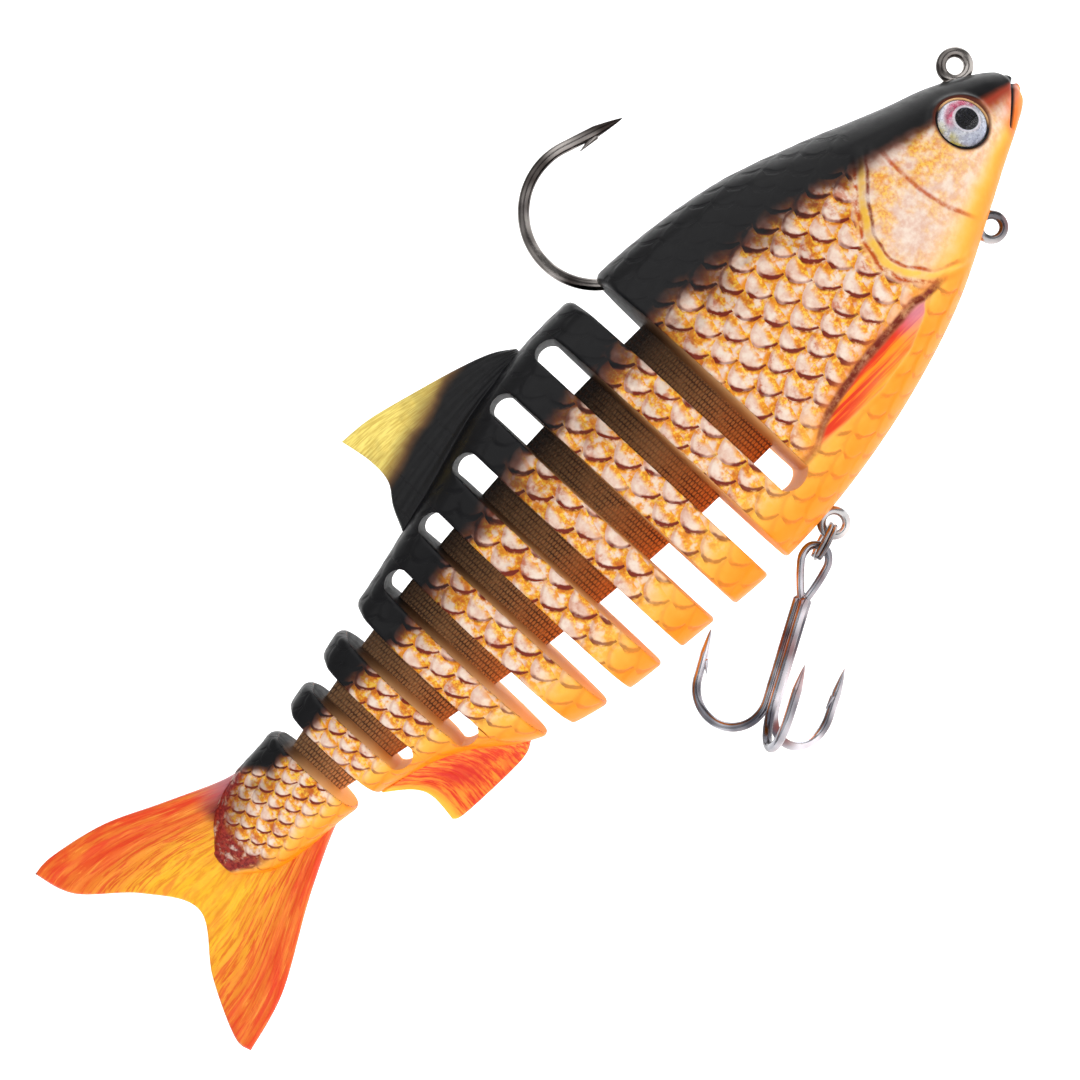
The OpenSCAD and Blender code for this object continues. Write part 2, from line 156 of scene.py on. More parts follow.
scalePattern = {
    "long": 2.45, "high": 3.6,             # spacing of the rows of scales, and of the scales in a row
    "turn": 13, "slip": 0.36,              # the rows lean by this many degrees and slip by this share
    "tailSize": 0.55,                      # size at the tail, against 1 at the head
    "lift": 0.26,                          # relief from the base of a scale to its free edge
}


def scaleSize(x):
    return (1 + 0.1 * (1 - smooth(-62, -45, x))) * mix(scalePattern["tailSize"], 1, smooth(-120, -76, x))


stationRun = np.concatenate([[0], np.cumsum(0.5 / scaleSize((stations[1:] + stations[:-1]) / 2))])


def scaleMap(x, z):
    # distance along and round the skin, divided by the local size of a scale and turned with the rows
    v = np.arccos(1 - 2 * shareOf(x, z)) / np.pi
    s = np.clip((x - stations[0]) / 0.5, 0, len(stations) - 1.001)
    i = s.astype(int)
    j = np.clip(v * 200, 0, 199.999)
    k = j.astype(int)
    fs, fj = s - i, j - k
    arc = mix(mix(arcs[i, k], arcs[i, k + 1], fj), mix(arcs[i + 1, k], arcs[i + 1, k + 1], fj), fs)
    run = stationRun[-1] - mix(stationRun[i], stationRun[i + 1], fs)
    arc = arc / scaleSize(x)
    c, d = math.cos(math.radians(scalePattern["turn"])), math.sin(math.radians(scalePattern["turn"]))
    return run * c + arc * d, arc * c - run * d


def scaleLift(run, arc):  # overlapping rounded plates, each one highest at its free edge
    p, q = run / scalePattern["long"], arc / scalePattern["high"]
    n = np.floor(p)
    f = p - n
    d = np.mod(q + scalePattern["slip"] * n, 1) - 0.5
    e = (f**1.7 + np.abs(2 * d)**1.7) ** (1 / 1.7)
    upper = 0.5 + 0.5 * f - 0.25 * smooth(0.8, 1, e)
    lower = 0.5 * f
    return np.where(e < 1, upper, lower)


# share of the height where the black of the back ends, at distances behind the snout
backEdge = ([0, 8, 14, 19, 28, 36, 51, 70, 84, 92, 100, 112, 120, 126],
            [0.56, 0.66, 0.745, 0.76, 0.78, 0.79, 0.80, 0.79, 0.80, 0.80, 0.76, 0.76, 0.8, 1.2])

# Lines on the head, as the distance along the body at each height.
headMarks = {
    "gillZ": [-21, -19, -17.4, -15.7, -13.2, -10.5, -7.4, -4.5, -2.5, 0, 3],
    "gillX": [-10, -14.5, -18.2, -21.7, -24, -24.9, -24, -22.1, -20.2, -17.8, -15],
    "cheekZ": [-18, -14.7, -11.3, -7.4, -3.3, 0],
    "cheekX": [-9.6, -12.5, -14.6, -15.5, -15.7, -15.2],
    "finX": [-45.2, -43, -40.8, -35, -29.3, -25.2, -24],
    "finTop": [-20.5, -19, -18.2, -17, -16.6, -16.2, -16.8],
    "finLow": [-20.6, -20.7, -20.9, -21.1, -20.2, -18.4, -17],
    "mouth": ((3.4, -6.0), (-1.2, -10.0)),
    "eyeTurn": 17, "eyePitch": 5, "eyeRadius": 3.1,
}


def bendLine(at, xs, ys):  # a line through a few points with its corners smoothed
    wide = np.linspace(min(xs) - 2, max(xs) + 2, 400)
    y = np.interp(wide, xs, ys)
    kernel = np.hanning(31)
    y = np.convolve(np.pad(y, 15, mode="edge"), kernel / kernel.sum(), "valid")
    return np.interp(at, wide, y)


def sideOfLine(x, z, zs, xs):  # distance behind a line given as x at each z
    at = bendLine(z, zs, xs)
    slope = (bendLine(z + 0.2, zs, xs) - bendLine(z - 0.2, zs, xs)) / 0.4
    return (at - x) / np.sqrt(1 + slope**2)


# distances to the gill, the cheek line, the side fin and the mouth
def markDistances(x, z):
    m = headMarks
    gill = sideOfLine(x, z, m["gillZ"], m["gillX"])
    cheek = sideOfLine(x, z, m["cheekZ"], m["cheekX"])
    top, low = bendLine(x, m["finX"], m["finTop"]), bendLine(x, m["finX"], m["finLow"])
    fin = np.minimum(np.minimum(top - z, z - low), np.minimum(x + 45.4, -23.6 - x) * 0.5)
    (x0, z0), (x1, z1) = m["mouth"]
    dx, dz = x1 - x0, z1 - z0
    t = np.clip(((x - x0) * dx + (z - z0) * dz) / (dx * dx + dz * dz), 0, 1)
    mouth = np.hypot(x - x0 - t * dx, z - z0 - t * dz)
    return gill, cheek, fin, mouth


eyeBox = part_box("iris_right")
eyeCentre = np.array((eyeBox[0] + eyeBox[1]) / 2) / mm
turn, pitch = math.radians(headMarks["eyeTurn"]), math.radians(headMarks["eyePitch"])
eyeAxis = np.array([math.sin(turn) * math.cos(pitch), -math.cos(turn) * math.cos(pitch), math.sin(pitch)])
eyeAlong = np.array([math.cos(turn), math.sin(turn), 0.0])       # towards the snout
eyeUp = np.cross(eyeAlong, eyeAxis)
eyeUp *= np.sign(eyeUp[2])


def eyeDistance(p):  # distance from the axis of the right eye; the left one is its mirror
    q = p.copy()
    q[..., 1] = -np.abs(q[..., 1])
    q = q - eyeCentre
    return np.sqrt((q @ eyeAlong)**2 + (q @ eyeUp)**2), q @ eyeAxis


def relief(x, y, z):  # height of everything moulded into the skin
    run, arc = scaleMap(x, z)
    gill, cheek, fin, mouth = markDistances(x, z)
    share = shareOf(x, z)
    edge = np.interp(body["snout"] - x, *backEdge)
    scales = smooth(0.3, 2.5, gill) * (1 - smooth(-0.6, 0.1, fin)) * smooth(0.02, 0.08, share)
    scales = scales * mix(1, 0.35, smooth(edge - 0.06, edge + 0.04, share))      # the back is nearly smooth
    lift = scalePattern["lift"] * scaleSize(x) * scaleLift(run, arc) * scales
    side = smooth(-27, -25, x) * smooth(0.03, 0.12, share) * (1 - smooth(0.72, 0.84, share))
    cover = 0.42 * smooth(-0.1, 0.4, -gill) * np.exp(-np.maximum(-gill, 0) / 3.5)
    groove, fold = 0.2 * np.exp(-((gill - 0.35) / 0.4)**2), 0.12 * np.exp(-((gill + 1.15) / 0.3)**2)
    lift += side * (cover - groove - fold)
    lift -= side * 0.16 * np.exp(-(cheek / 0.35)**2) * smooth(-16.5, -14, z) * (1 - smooth(-3.5, -2, z))
    rays = 0.05 * np.sin(2.6 * (arc * 2.2 + 0.12 * x))
    lift += np.where(np.abs(y) > 0.8, (0.4 + rays) * smooth(-0.05, 0.55, fin) * smooth(-46, -41, x), 0)
    lift -= 0.5 * np.exp(-(mouth / 0.3)**2) * smooth(-2.2, -1, x)
    return lift


def hexColour(red, green, blue):  # screen colour 0 to 255, turned to the linear values the shader wants
    c = np.array([red, green, blue]) / 255
    return (*np.where(c <= 0.04045, c / 12.92, ((c + 0.055) / 1.055)**2.4), 1.0)


class Finish:
    # A material with short calls for its nodes: every call gives back the new node's output.
    def __init__(self, name, **sockets):
        self.material = bpy.data.materials.new(name)
        self.material.use_nodes = True
        self.tree = self.material.node_tree
        self.shader = self.tree.nodes["Principled BSDF"]
        for label, value in sockets.items():
            self.shader.inputs[label.replace("_", " ")].default_value = value

    def put(self, kind, inputs=(), **settings):
        node = self.tree.nodes.new(kind)
        for key, value in settings.items():
            setattr(node, key, value)
        for key, value in dict(inputs).items():
            self.feed(node.inputs[key], value)
        return node

    def feed(self, socket, value):
        if isinstance(value, bpy.types.NodeSocket):
            self.tree.links.new(value, socket)
        else:
            socket.default_value = value

    def calc(self, operation, *values):
        return self.put("ShaderNodeMath", dict(enumerate(values)), operation=operation).outputs[0]

    def times(self, *values):
        out = values[0]
        for value in values[1:]:
            out = self.calc("MULTIPLY", out, value)
        return out

    def less(self, value):  # one less the value
        return self.calc("SUBTRACT", 1.0, value)

    def swing(self, value, noise, amount):  # the value pushed up and down by a noise
        return self.calc("ADD", value, self.times(self.calc("SUBTRACT", noise, 0.5), amount))

    def near(self, value, at, full, none):  # 1 within full of a value, 0 beyond none
        return self.step(self.calc("ABSOLUTE", self.calc("SUBTRACT", value, at)), none, full)

    def step(self, value, low, high, to0=0.0, to1=1.0):
        return self.put("ShaderNodeMapRange", {0: value, 1: low, 2: high, 3: to0, 4: to1},
                        interpolation_type="SMOOTHSTEP").outputs[0]

    def attribute(self, name):
        return self.put("ShaderNodeAttribute", attribute_name=name).outputs["Vector"]

    def place(self):
        return self.put("ShaderNodeTexCoord").outputs["Object"]

    def split(self, vector):
        return self.put("ShaderNodeSeparateXYZ", {0: vector}).outputs

    def joined(self, x, y, z=0.0):
        return self.put("ShaderNodeCombineXYZ", {0: x, 1: y, 2: z}).outputs[0]

    def stretched(self, vector, scale, turned=(0, 0, 0)):
        return self.put("ShaderNodeMapping", {"Vector": vector, "Scale": scale,
                                              "Rotation": turned}).outputs[0]

    def noise(self, vector, scale, detail=3.0, rough=0.55, distortion=0.0):
        return self.put("ShaderNodeTexNoise", {"Vector": vector, "Scale": scale, "Detail": detail,
                                               "Roughness": rough, "Distortion": distortion}).outputs[0]

    def colours(self, share, a, b):
        node = self.put("ShaderNodeMix", data_type="RGBA")
        self.feed(node.inputs["Factor"], share)
        self.feed(node.inputs[6], a)
        self.feed(node.inputs[7], b)
        return node.outputs[2]

    def bump(self, height, distance, strength=1.0):
        normal = self.put("ShaderNodeBump", {"Height": height, "Distance": distance,
                                             "Strength": strength}).outputs[0]
        self.feed(self.shader.inputs["Normal"], normal)

    def ramp(self, share, stops):
        node = self.put("ShaderNodeValToRGB", {0: share})
        while len(node.color_ramp.elements) < len(stops):
            node.color_ramp.elements.new(0.5)
        for element, (at, colour) in zip(node.color_ramp.elements, sorted(stops)):
            element.position, element.color = at, colour
        return node.outputs[0]

    def finish(self, colour, rough):
        self.feed(self.shader.inputs["Base Color"], colour)
        self.feed(self.shader.inputs["Roughness"], rough)
        return self.material


skinColours = {
    "black": hexColour(8, 8, 11), "brown": hexColour(84, 34, 18), "cream": hexColour(230, 212, 196),
    "pink": hexColour(214, 174, 154), "ochre": hexColour(222, 138, 30), "line": hexColour(112, 30, 8),
    "orange": hexColour(252, 138, 4), "yellow": hexColour(248, 184, 74), "red": hexColour(214, 48, 10),
    "rust": hexColour(180, 76, 20), "wine": hexColour(112, 16, 16), "gold": hexColour(238, 190, 62),
    "lilac": hexColour(200, 130, 146),
}


def skinFinish():
    c = skinColours
    f = Finish("printed_skin", Coat_Weight=0.09, Coat_Roughness=0.12, Specular_IOR_Level=0.15)
    run, arc, share = f.split(f.attribute("scales"))
    gill, cheek, fin = f.split(f.attribute("marks"))
    edge, mouth, eye = f.split(f.attribute("more"))
    finTop = f.split(f.attribute("fins"))[0]
    place = f.place()
    x, y = f.split(place)[:2]
    grain = f.noise(place, 2400.0, 2.0, 0.6)
    fine = f.noise(place, 900.0, 4.0, 0.6)
    coarse = f.noise(place, 240.0, 3.0, 0.6)
    broad = f.noise(place, 75.0, 2.0, 0.5)
    speckled = f.step(fine, 0.25, 0.6, 0.4, 1.0)
    headOnly = f.step(x, -0.027, -0.0255)
    low = f.swing(share, coarse, 0.1)

    # the lattice of scales, pushed about a little so that no two are alike
    p = f.calc("DIVIDE", f.swing(run, coarse, 1.2), scalePattern["long"])
    q = f.calc("DIVIDE", f.swing(arc, broad, 1.6), scalePattern["high"])
    n = f.calc("FLOOR", p)
    along = f.calc("SUBTRACT", p, n)
    across = f.calc("SUBTRACT", f.calc("FRACT", f.calc("ADD", q, f.times(n, scalePattern["slip"]))), 0.5)
    spread = f.calc("POWER", f.times(f.calc("ABSOLUTE", across), 2.0), 1.7)
    reach = f.calc("POWER", f.calc("ADD", f.calc("POWER", along, 1.7), spread), 1 / 1.7)
    inner = f.calc("LESS_THAN", reach, 1.0)
    under = f.step(across, 0.14, -0.1, 0.3, 1.0)      # strongest on the belly side of each scale
    # shade is a painted shadow cast by the free edge of each scale on the scale behind it; rim is the
    # printed outline inside the edge
    shade = f.times(f.step(reach, 1.22, 1.0), f.less(inner), f.step(fine, 0.3, 0.64, 0.1, 1.1))
    rim = f.times(f.step(f.swing(reach, grain, 0.12), 0.76, 0.92), inner)
    scaleLinesAndShadow = f.times(f.calc("MAXIMUM", shade, rim), under, f.step(coarse, 0.3, 0.58, 0.5, 1.3))
    scaled = f.times(f.step(gill, 0.6, 1.6), f.step(fin, 0.1, -0.5))
    scaleLinesAndShadow = f.times(f.calc("MINIMUM", scaleLinesAndShadow, 1.0), scaled)
    # ochre lies next to the scale in front, in ragged patches
    base = f.calc("MAXIMUM", f.times(f.less(inner), f.step(reach, 1.6, 1.0, 0.3, 1.0)),
                  f.step(along, 0.8, 0.0, 0.0, 0.9))
    patch = f.times(f.step(f.swing(base, coarse, 2.0), 0.3, 0.75), f.step(fine, 0.34, 0.52, 0.15, 1.0),
                    scaled)

    ground = f.colours(f.step(fine, 0.3, 0.7), c["cream"], c["pink"])
    ground = f.colours(patch, ground, f.colours(f.step(grain, 0.46, 0.62), c["ochre"], c["gold"]))
    blotch = f.times(f.step(fine, 0.52, 0.66), f.step(coarse, 0.42, 0.6), scaled)
    ground = f.colours(f.times(blotch, 0.75), ground, c["rust"])
    # clouds of ochre and brown on the cheek, thickest towards the top
    cloud = f.times(f.step(f.swing(coarse, broad, 0.7), 0.4, 0.58), speckled,
                    f.step(share, 0.2, 0.6, 0.35, 1.0))
    cloudTone = f.colours(f.step(grain, 0.35, 0.65), c["ochre"], c["gold"])
    ground = f.colours(f.times(cloud, headOnly, f.less(scaled), 0.9), ground, cloudTone)
    mottle = f.times(f.step(fine, 0.46, 0.62), f.step(broad, 0.38, 0.56), f.step(share, 0.5, 0.74),
                     headOnly)
    ground = f.colours(f.times(mottle, 0.7), ground, c["rust"])
    ground = f.colours(f.step(low, 0.3, 0.12), ground, c["yellow"])
    ground = f.colours(f.step(low, 0.2, 0.05), ground, c["orange"])
    # scale lines, with the painted shadow beside them, are wine red where they are thick, and rust where
    # they thin out
    ink = f.colours(f.step(scaleLinesAndShadow, 0.3, 0.7), c["rust"], c["line"])
    ground = f.colours(f.times(scaleLinesAndShadow, f.step(low, 0.03, 0.3, 0.3, 1.0)), ground, ink)
    ground = f.colours(f.times(f.step(share, 0.5, 0.78), f.step(coarse, 0.4, 0.6), 0.55, scaled), ground,
                       c["brown"])

    # the fin moulded on the side: dark along its top, melting into the belly below
    finRays = f.noise(f.stretched(place, (70, 70, 1500)), 1.0, 3.0, 0.6)
    finTone = f.colours(f.step(finRays, 0.42, 0.58), c["orange"], c["red"])
    finTone = f.colours(f.times(f.step(x, -0.030, -0.0255), f.step(finTop, 3.5, 1.0), 0.8), finTone,
                        c["lilac"])
    onFin = f.step(fin, -2.2, -0.4)
    glow = f.times(f.step(finTop, -2.6, -0.2), f.step(finTop, 0.3, -0.1), onFin,
                   f.step(coarse, 0.3, 0.6, 0.4, 0.9))
    ground = f.colours(f.times(glow, 0.8), ground, hexColour(214, 112, 46))
    finBody = f.times(f.step(fin, -0.2, 0.7), f.step(finTop, 4.6, 1.2, 0.4, 1.0), f.step(finTop, 0.0, 0.3))
    ground = f.colours(finBody, ground, finTone)
    topEdge = f.times(f.near(f.swing(finTop, coarse, 0.5), 0.0, 0.2, 0.7), onFin, speckled)
    ground = f.colours(f.times(topEdge, f.step(x, -0.047, -0.039, 0.5, 1.0)), ground, c["line"])

    # edge of the gill cover: gold between two broken dark lines
    cover = f.swing(gill, coarse, 1.1)
    faded = f.times(f.step(low, 0.08, 0.2), headOnly)
    ragged = f.step(coarse, 0.35, 0.55, 0.25, 1.0)
    ground = f.colours(f.times(f.near(cover, -0.1, 0.12, 0.6), faded, 0.85, ragged), ground, c["gold"])
    ground = f.colours(f.times(f.near(cover, 0.6, 0.08, 0.45), faded, f.step(fine, 0.35, 0.6)), ground,
                       c["rust"])
    dark = f.times(f.near(cover, -0.75, 0.06, 0.36), faded, speckled, ragged)
    ground = f.colours(dark, ground, f.colours(f.step(share, 0.3, 0.5), c["rust"], c["line"]))
    seam = f.times(f.near(f.swing(cheek, coarse, 0.5), 0.0, 0.08, 0.45), speckled, faded,
                   f.step(low, 0.78, 0.7), 0.9)
    ground = f.colours(seam, ground, c["rust"])
    lips = f.times(f.step(mouth, 2.0, 0.3), f.step(coarse, 0.3, 0.6, 0.3, 0.8), f.step(x, -0.004, -0.001))
    ground = f.colours(lips, ground, hexColour(226, 96, 36))
    # the end of the stem is mottled wine red
    thinning = f.times(f.step(f.swing(f.calc("ABSOLUTE", y), coarse, 0.0012), 0.0032, 0.0023),
                       f.step(x, -0.117, -0.121))
    tip = f.step(f.swing(x, coarse, 0.003), -0.1255, -0.1272)
    ending = f.times(f.calc("MAXIMUM", thinning, tip), f.step(low, 0.1, 0.24),
                     f.step(fine, 0.3, 0.5, 0.35, 1.0))
    ground = f.colours(ending, ground, f.colours(f.step(grain, 0.4, 0.6), c["wine"],
                                                 hexColour(150, 44, 34)))

    # black back, with brown where it fades out and a red brown patch on the snout
    depth = f.calc("ADD", f.swing(f.calc("SUBTRACT", share, edge), coarse, 0.09), f.times(scaleLinesAndShadow, 0.05))
    snout = f.times(f.step(depth, -0.34, -0.1), f.step(x, -0.0045, -0.0015),
                    f.step(coarse, 0.28, 0.5, 0.5, 1.0))
    ground = f.colours(snout, ground, hexColour(150, 52, 30))
    ground = f.colours(f.step(depth, -0.1, -0.02, 0.0, 0.92), ground, c["brown"])
    ground = f.colours(f.step(depth, -0.055, 0.02), ground, c["black"])
    socket = headMarks["eyeRadius"]
    ground = f.colours(f.step(f.swing(eye, coarse, 0.4), socket + 0.7, socket + 0.2, 0.0, 0.9), ground,
                       c["brown"])
    ground = f.colours(f.step(mouth, 0.34, 0.12), ground, c["black"])
    f.bump(f.calc("ADD", f.times(fine, 0.5), f.less(scaleLinesAndShadow)), 0.00006, 0.7)
    return f.finish(ground, f.step(fine, 0.3, 0.7, 0.34, 0.46))


def wallFinish():
    f = Finish("slot_wall", Specular_IOR_Level=0.12)
    share = f.split(f.attribute("scales"))[2]
    place = f.place()
    soft = f.noise(f.stretched(place, (500, 60, 40)), 1.0, 3.0)
    fine = f.noise(place, 1400.0, 3.0)
    height = f.swing(share, soft, 0.1)
    # the tan and brown in the middle of the ramp are painted shade in the narrow slot; the black at the top
    # is the black back and the orange at the bottom the belly
    colour = f.ramp(height, [(0.0, hexColour(254, 168, 50)), (0.16, hexColour(250, 184, 96)),
                             (0.34, hexColour(236, 190, 134)),
                             (0.56, hexColour(202, 156, 108)), (0.72, hexColour(112, 80, 54)),
                             (0.84, hexColour(20, 18, 20)),
                             (1.0, hexColour(12, 12, 15))])
    f.bump(fine, 0.00003, 0.6)
    return f.finish(colour, f.step(fine, 0.3, 0.7, 0.5, 0.62))


def dorsalFinish():
    f = Finish("back_fin", Coat_Weight=0.1, Coat_Roughness=0.2, Specular_IOR_Level=0.2)
    place = f.place()
    a, t, h = f.split(f.attribute("fin"))
    rays = f.noise(f.joined(f.times(a, 9.0), f.times(t, 60.0)), 1.0, 3.0, 0.6, 0.3)
    cloud = f.noise(place, 170.0, 3.0)
    fine = f.noise(place, 1300.0, 3.0)
    level = f.swing(h, cloud, 2.2)
    colour = f.colours(f.step(rays, 0.35, 0.65), hexColour(246, 226, 122), hexColour(216, 184, 84))
    colour = f.colours(f.times(f.step(cloud, 0.48, 0.66), 0.5), colour, hexColour(150, 126, 66))
    colour = f.colours(f.step(level, 7.2, 4.4), colour, hexColour(112, 78, 44))
    colour = f.colours(f.step(level, 5.4, 3.6), colour, skinColours["black"])
    f.bump(f.calc("ADD", f.times(rays, 2.0), fine), 0.00005, 0.6)
    return f.finish(colour, f.step(fine, 0.3, 0.7, 0.34, 0.48))


def analFinish():
    f = Finish("belly_fin", Coat_Weight=0.1, Coat_Roughness=0.2, Specular_IOR_Level=0.2)
    place = f.place()
    a, t = f.split(f.attribute("fin"))[:2]
    rays = f.noise(f.joined(f.times(a, 34.0), f.times(t, 3.0)), 1.0, 4.0, 0.65, 0.2)
    cloud = f.noise(place, 260.0, 3.0)
    fine = f.noise(place, 1300.0, 3.0)
    colour = f.colours(f.step(rays, 0.38, 0.6), hexColour(252, 146, 42), hexColour(222, 62, 26))
    middle = f.times(f.step(t, 0.15, 0.45), f.step(a, 0.1, 0.4), f.step(a, 0.9, 0.7))
    colour = f.colours(f.times(middle, f.step(cloud, 0.35, 0.6), 0.85), colour, hexColour(214, 42, 30))
    colour = f.colours(f.step(a, 0.86, 0.98), colour, hexColour(250, 190, 60))
    f.bump(f.calc("ADD", f.times(rays, 2.0), fine), 0.00006, 0.7)
    return f.finish(colour, f.step(fine, 0.3, 0.7, 0.34, 0.48))


def tailFinish():
    f = Finish("tail_fin_print", Coat_Weight=0.1, Coat_Roughness=0.2, Specular_IOR_Level=0.2)
    place = f.place()
    a, t = f.split(f.attribute("fin"))[:2]           # a root to trailing edge, t top to bottom lobe
    rays = f.noise(f.joined(f.times(a, 5.0), f.times(t, 70.0)), 1.0, 4.0, 0.65, 0.6)
    wide = f.noise(f.joined(f.times(a, 3.0), f.times(t, 14.0)), 1.0, 3.0, 0.6, 0.3)
    fine = f.noise(place, 1300.0, 3.0)
    centre = f.calc("ABSOLUTE", f.calc("SUBTRACT", t, 0.52))
    yellow = f.times(f.step(centre, 0.42, 0.12), f.step(wide, 0.3, 0.62, 0.55, 1.0))
    colour = f.colours(yellow, hexColour(228, 118, 34), hexColour(244, 186, 36))
    streaks = f.times(f.step(rays, 0.46, 0.6), f.step(centre, 0.02, 0.3, 0.3, 0.8))
    colour = f.colours(streaks, colour, hexColour(216, 62, 18))
    colour = f.colours(f.times(f.step(centre, 0.3, 0.46), f.step(wide, 0.35, 0.6), 0.8), colour,
                       hexColour(222, 52, 18))
    colour = f.colours(f.times(f.step(rays, 0.42, 0.3), 0.5), colour, hexColour(252, 170, 66))
    root = f.swing(a, wide, 0.12)
    colour = f.colours(f.times(f.step(root, 0.3, 0.1), f.step(t, 0.3, 0.1), 0.8), colour,
                       hexColour(172, 112, 128))
    wine = f.times(f.step(root, 0.3, 0.2), f.step(t, 0.02, 0.2), f.step(t, 0.75, 0.6))
    colour = f.colours(wine, colour, skinColours["wine"])
    f.bump(f.calc("ADD", f.times(rays, 2.0), fine), 0.00007, 0.8)
    return f.finish(colour, f.step(fine, 0.3, 0.7, 0.32, 0.46))


def netFinish():
    f = Finish("woven_net", Specular_IOR_Level=0.25, Sheen_Weight=0.25, Sheen_Roughness=0.5)
    net = f.split(f.attribute("net"))
    weave, height = net[0], net[2]
    place = f.place()
    fibre = f.noise(place, 2600.0, 3.0)
    level = f.swing(height, fibre, 0.1)
    # painted light and shade: orange low down, where light shines through the translucent belly, darkening
    # to brown towards the top of the slot
    colour = f.ramp(level, [(0.0, hexColour(250, 130, 44)), (0.2, hexColour(226, 138, 70)),
                            (0.45, hexColour(196, 142, 92)),
                            (0.74, hexColour(138, 102, 68)), (0.94, hexColour(40, 34, 30))])
    # painted shade in the low parts of the weave between the stitches, patchy in strength
    grooveShadeAmount = f.step(f.noise(place, 320.0, 3.0), 0.35, 0.6, 0.35, 0.85)
    colour = f.colours(f.times(f.step(weave, 0.75, 0.15), grooveShadeAmount), colour, hexColour(58, 36, 24))
    f.bump(f.calc("ADD", weave, f.times(fibre, 0.4)), 0.00008, 0.8)
    return f.finish(colour, f.step(fibre, 0.3, 0.7, 0.6, 0.8))


def irisFinish():
    f = Finish("foil_iris", Coat_Weight=0.15, Coat_Roughness=0.05, Specular_IOR_Level=0.2)
    ex, ez, radius = f.split(f.attribute("eye"))      # millimetres from the middle, ex towards the snout
    place = f.place()
    glitter = f.put("ShaderNodeTexVoronoi", {"Vector": place, "Scale": 3200.0}).outputs["Color"]
    spark = f.split(glitter)[0]
    cloud = f.noise(place, 700.0, 3.0)
    fromPupil = f.calc("SQRT", f.calc("ADD", f.calc("POWER", f.calc("SUBTRACT", ex, 0.75), 2.0),
                                      f.calc("POWER", ez, 2.0)))
    colour = f.colours(f.step(spark, 0.2, 0.9), hexColour(222, 222, 230), hexColour(252, 252, 252))
    colour = f.colours(f.times(f.step(ez, -0.6, -2.6), 0.3), colour, hexColour(150, 172, 226))
    colour = f.colours(f.times(f.step(ex, -1.3, -2.6), f.step(cloud, 0.35, 0.6)), colour,
                       hexColour(232, 214, 90))
    rose = f.times(f.step(ez, 0.1, 0.9), f.step(fromPupil, 1.35, 1.6), f.step(fromPupil, 2.9, 2.2))
    colour = f.colours(f.times(rose, f.step(cloud, 0.3, 0.6, 0.45, 1.0)), colour, hexColour(206, 40, 96))
    ring = f.times(f.step(fromPupil, 1.4, 1.5), f.step(fromPupil, 1.75, 1.62))
    colour = f.colours(f.times(ring, 0.8), colour, hexColour(244, 236, 238))
    colour = f.colours(f.step(fromPupil, 1.42, 1.34), colour, hexColour(5, 6, 14))
    colour = f.colours(f.step(radius, headMarks["eyeRadius"] - 0.3, headMarks["eyeRadius"] - 0.12),
                       colour, hexColour(40, 26, 26))
    metal = f.times(f.step(fromPupil, 1.5, 1.7), 0.35)
    f.feed(f.shader.inputs["Metallic"], metal)
    f.bump(spark, 0.00003, 0.4)
    return f.finish(colour, f.step(spark, 0.0, 1.0, 0.2, 0.36))


def domeFinish():
    f = Finish("clear_dome", Transmission_Weight=1.0, IOR=1.3)
    fine = f.noise(f.place(), 500.0, 2.0)
    return f.finish(f.colours(fine, hexColour(252, 252, 255), hexColour(246, 248, 252)),
                    f.step(fine, 0.3, 0.7, 0.02, 0.05))


def steelFinish(name, dark, light, rust):
    f = Finish(name, Metallic=1.0)
    place = f.place()
    cloud = f.noise(place, 130.0, 2.0)
    fine = f.noise(place, 2400.0, 2.0)
    drawn = f.noise(f.stretched(place, (900, 4000, 900)), 1.0, 2.0)
    # patches of the dark and the light tone are painted reflections of dark and bright surroundings in the
    # metal
    colour = f.colours(f.step(cloud, 0.35, 0.65), dark, light)
    # reddish brown patches, as strong as the rust number asks: a painted reflection of the orange body in
    # the wire
    colour = f.colours(f.times(f.step(f.noise(place, 90.0, 2.0), 0.56, 0.66), rust), colour,
                       hexColour(122, 58, 44))
    f.bump(f.calc("ADD", drawn, fine), 0.00001, 0.5)
    return f.finish(colour, f.step(fine, 0.3, 0.7, 0.14, 0.26))


def leadFinish():
    f = Finish("cast_lead", Metallic=0.9)
    place = f.place()
    cloud = f.noise(place, 400.0, 4.0)
    f.bump(cloud, 0.0002, 0.5)
    return f.finish(f.colours(cloud, hexColour(120, 122, 128), hexColour(74, 76, 82)),
                    f.step(cloud, 0.3, 0.7, 0.45, 0.7))


finishes = {
    "skin": skinFinish(), "wall": wallFinish(), "dorsal": dorsalFinish(), "anal": analFinish(),
    "tail": tailFinish(),
    "net": netFinish(), "iris": irisFinish(), "dome": domeFinish(),
    # the last number for each wire sets how much painted reddish reflection of the body it gets
    "hook": steelFinish("dark_nickel", hexColour(44, 38, 36), hexColour(168, 162, 158), 0.0),
    "treble": steelFinish("bright_nickel", hexColour(72, 72, 80), hexColour(216, 216, 224), 0.75),
    "ring": steelFinish("ring_steel", hexColour(92, 90, 94), hexColour(216, 214, 214), 0.4),
    "lead": leadFinish(),
}
print("materials made")


def grid(points, wrapLong=False, wrapRound=False, finish=0, **values):
    # faces between neighbours on a grid of points, with named values carried at the points
    m, n = points.shape[:2]
    i = np.arange(m if wrapLong else m - 1)[:, None]
    j = np.arange(n if wrapRound else n - 1)[None]
    a, b = i * n + j, i * n + (j + 1) % n
    c, d = ((i + 1) % m) * n + (j + 1) % n, ((i + 1) % m) * n + j
    faces = np.stack([a, b, c, d], -1).reshape(-1, 4)
    return {"points": points.reshape(-1, 3), "faces": faces, "finish": np.full(len(faces), finish),
            "values": {k: np.broadcast_to(v, (m, n, 3)).reshape(-1, 3) for k, v in values.items()}}


def outwards(shape):
    bmesh.ops.recalc_face_normals(shape, faces=shape.faces)
    if shape.calc_volume(signed=True) < 0:
        bmesh.ops.reverse_faces(shape, faces=shape.faces)


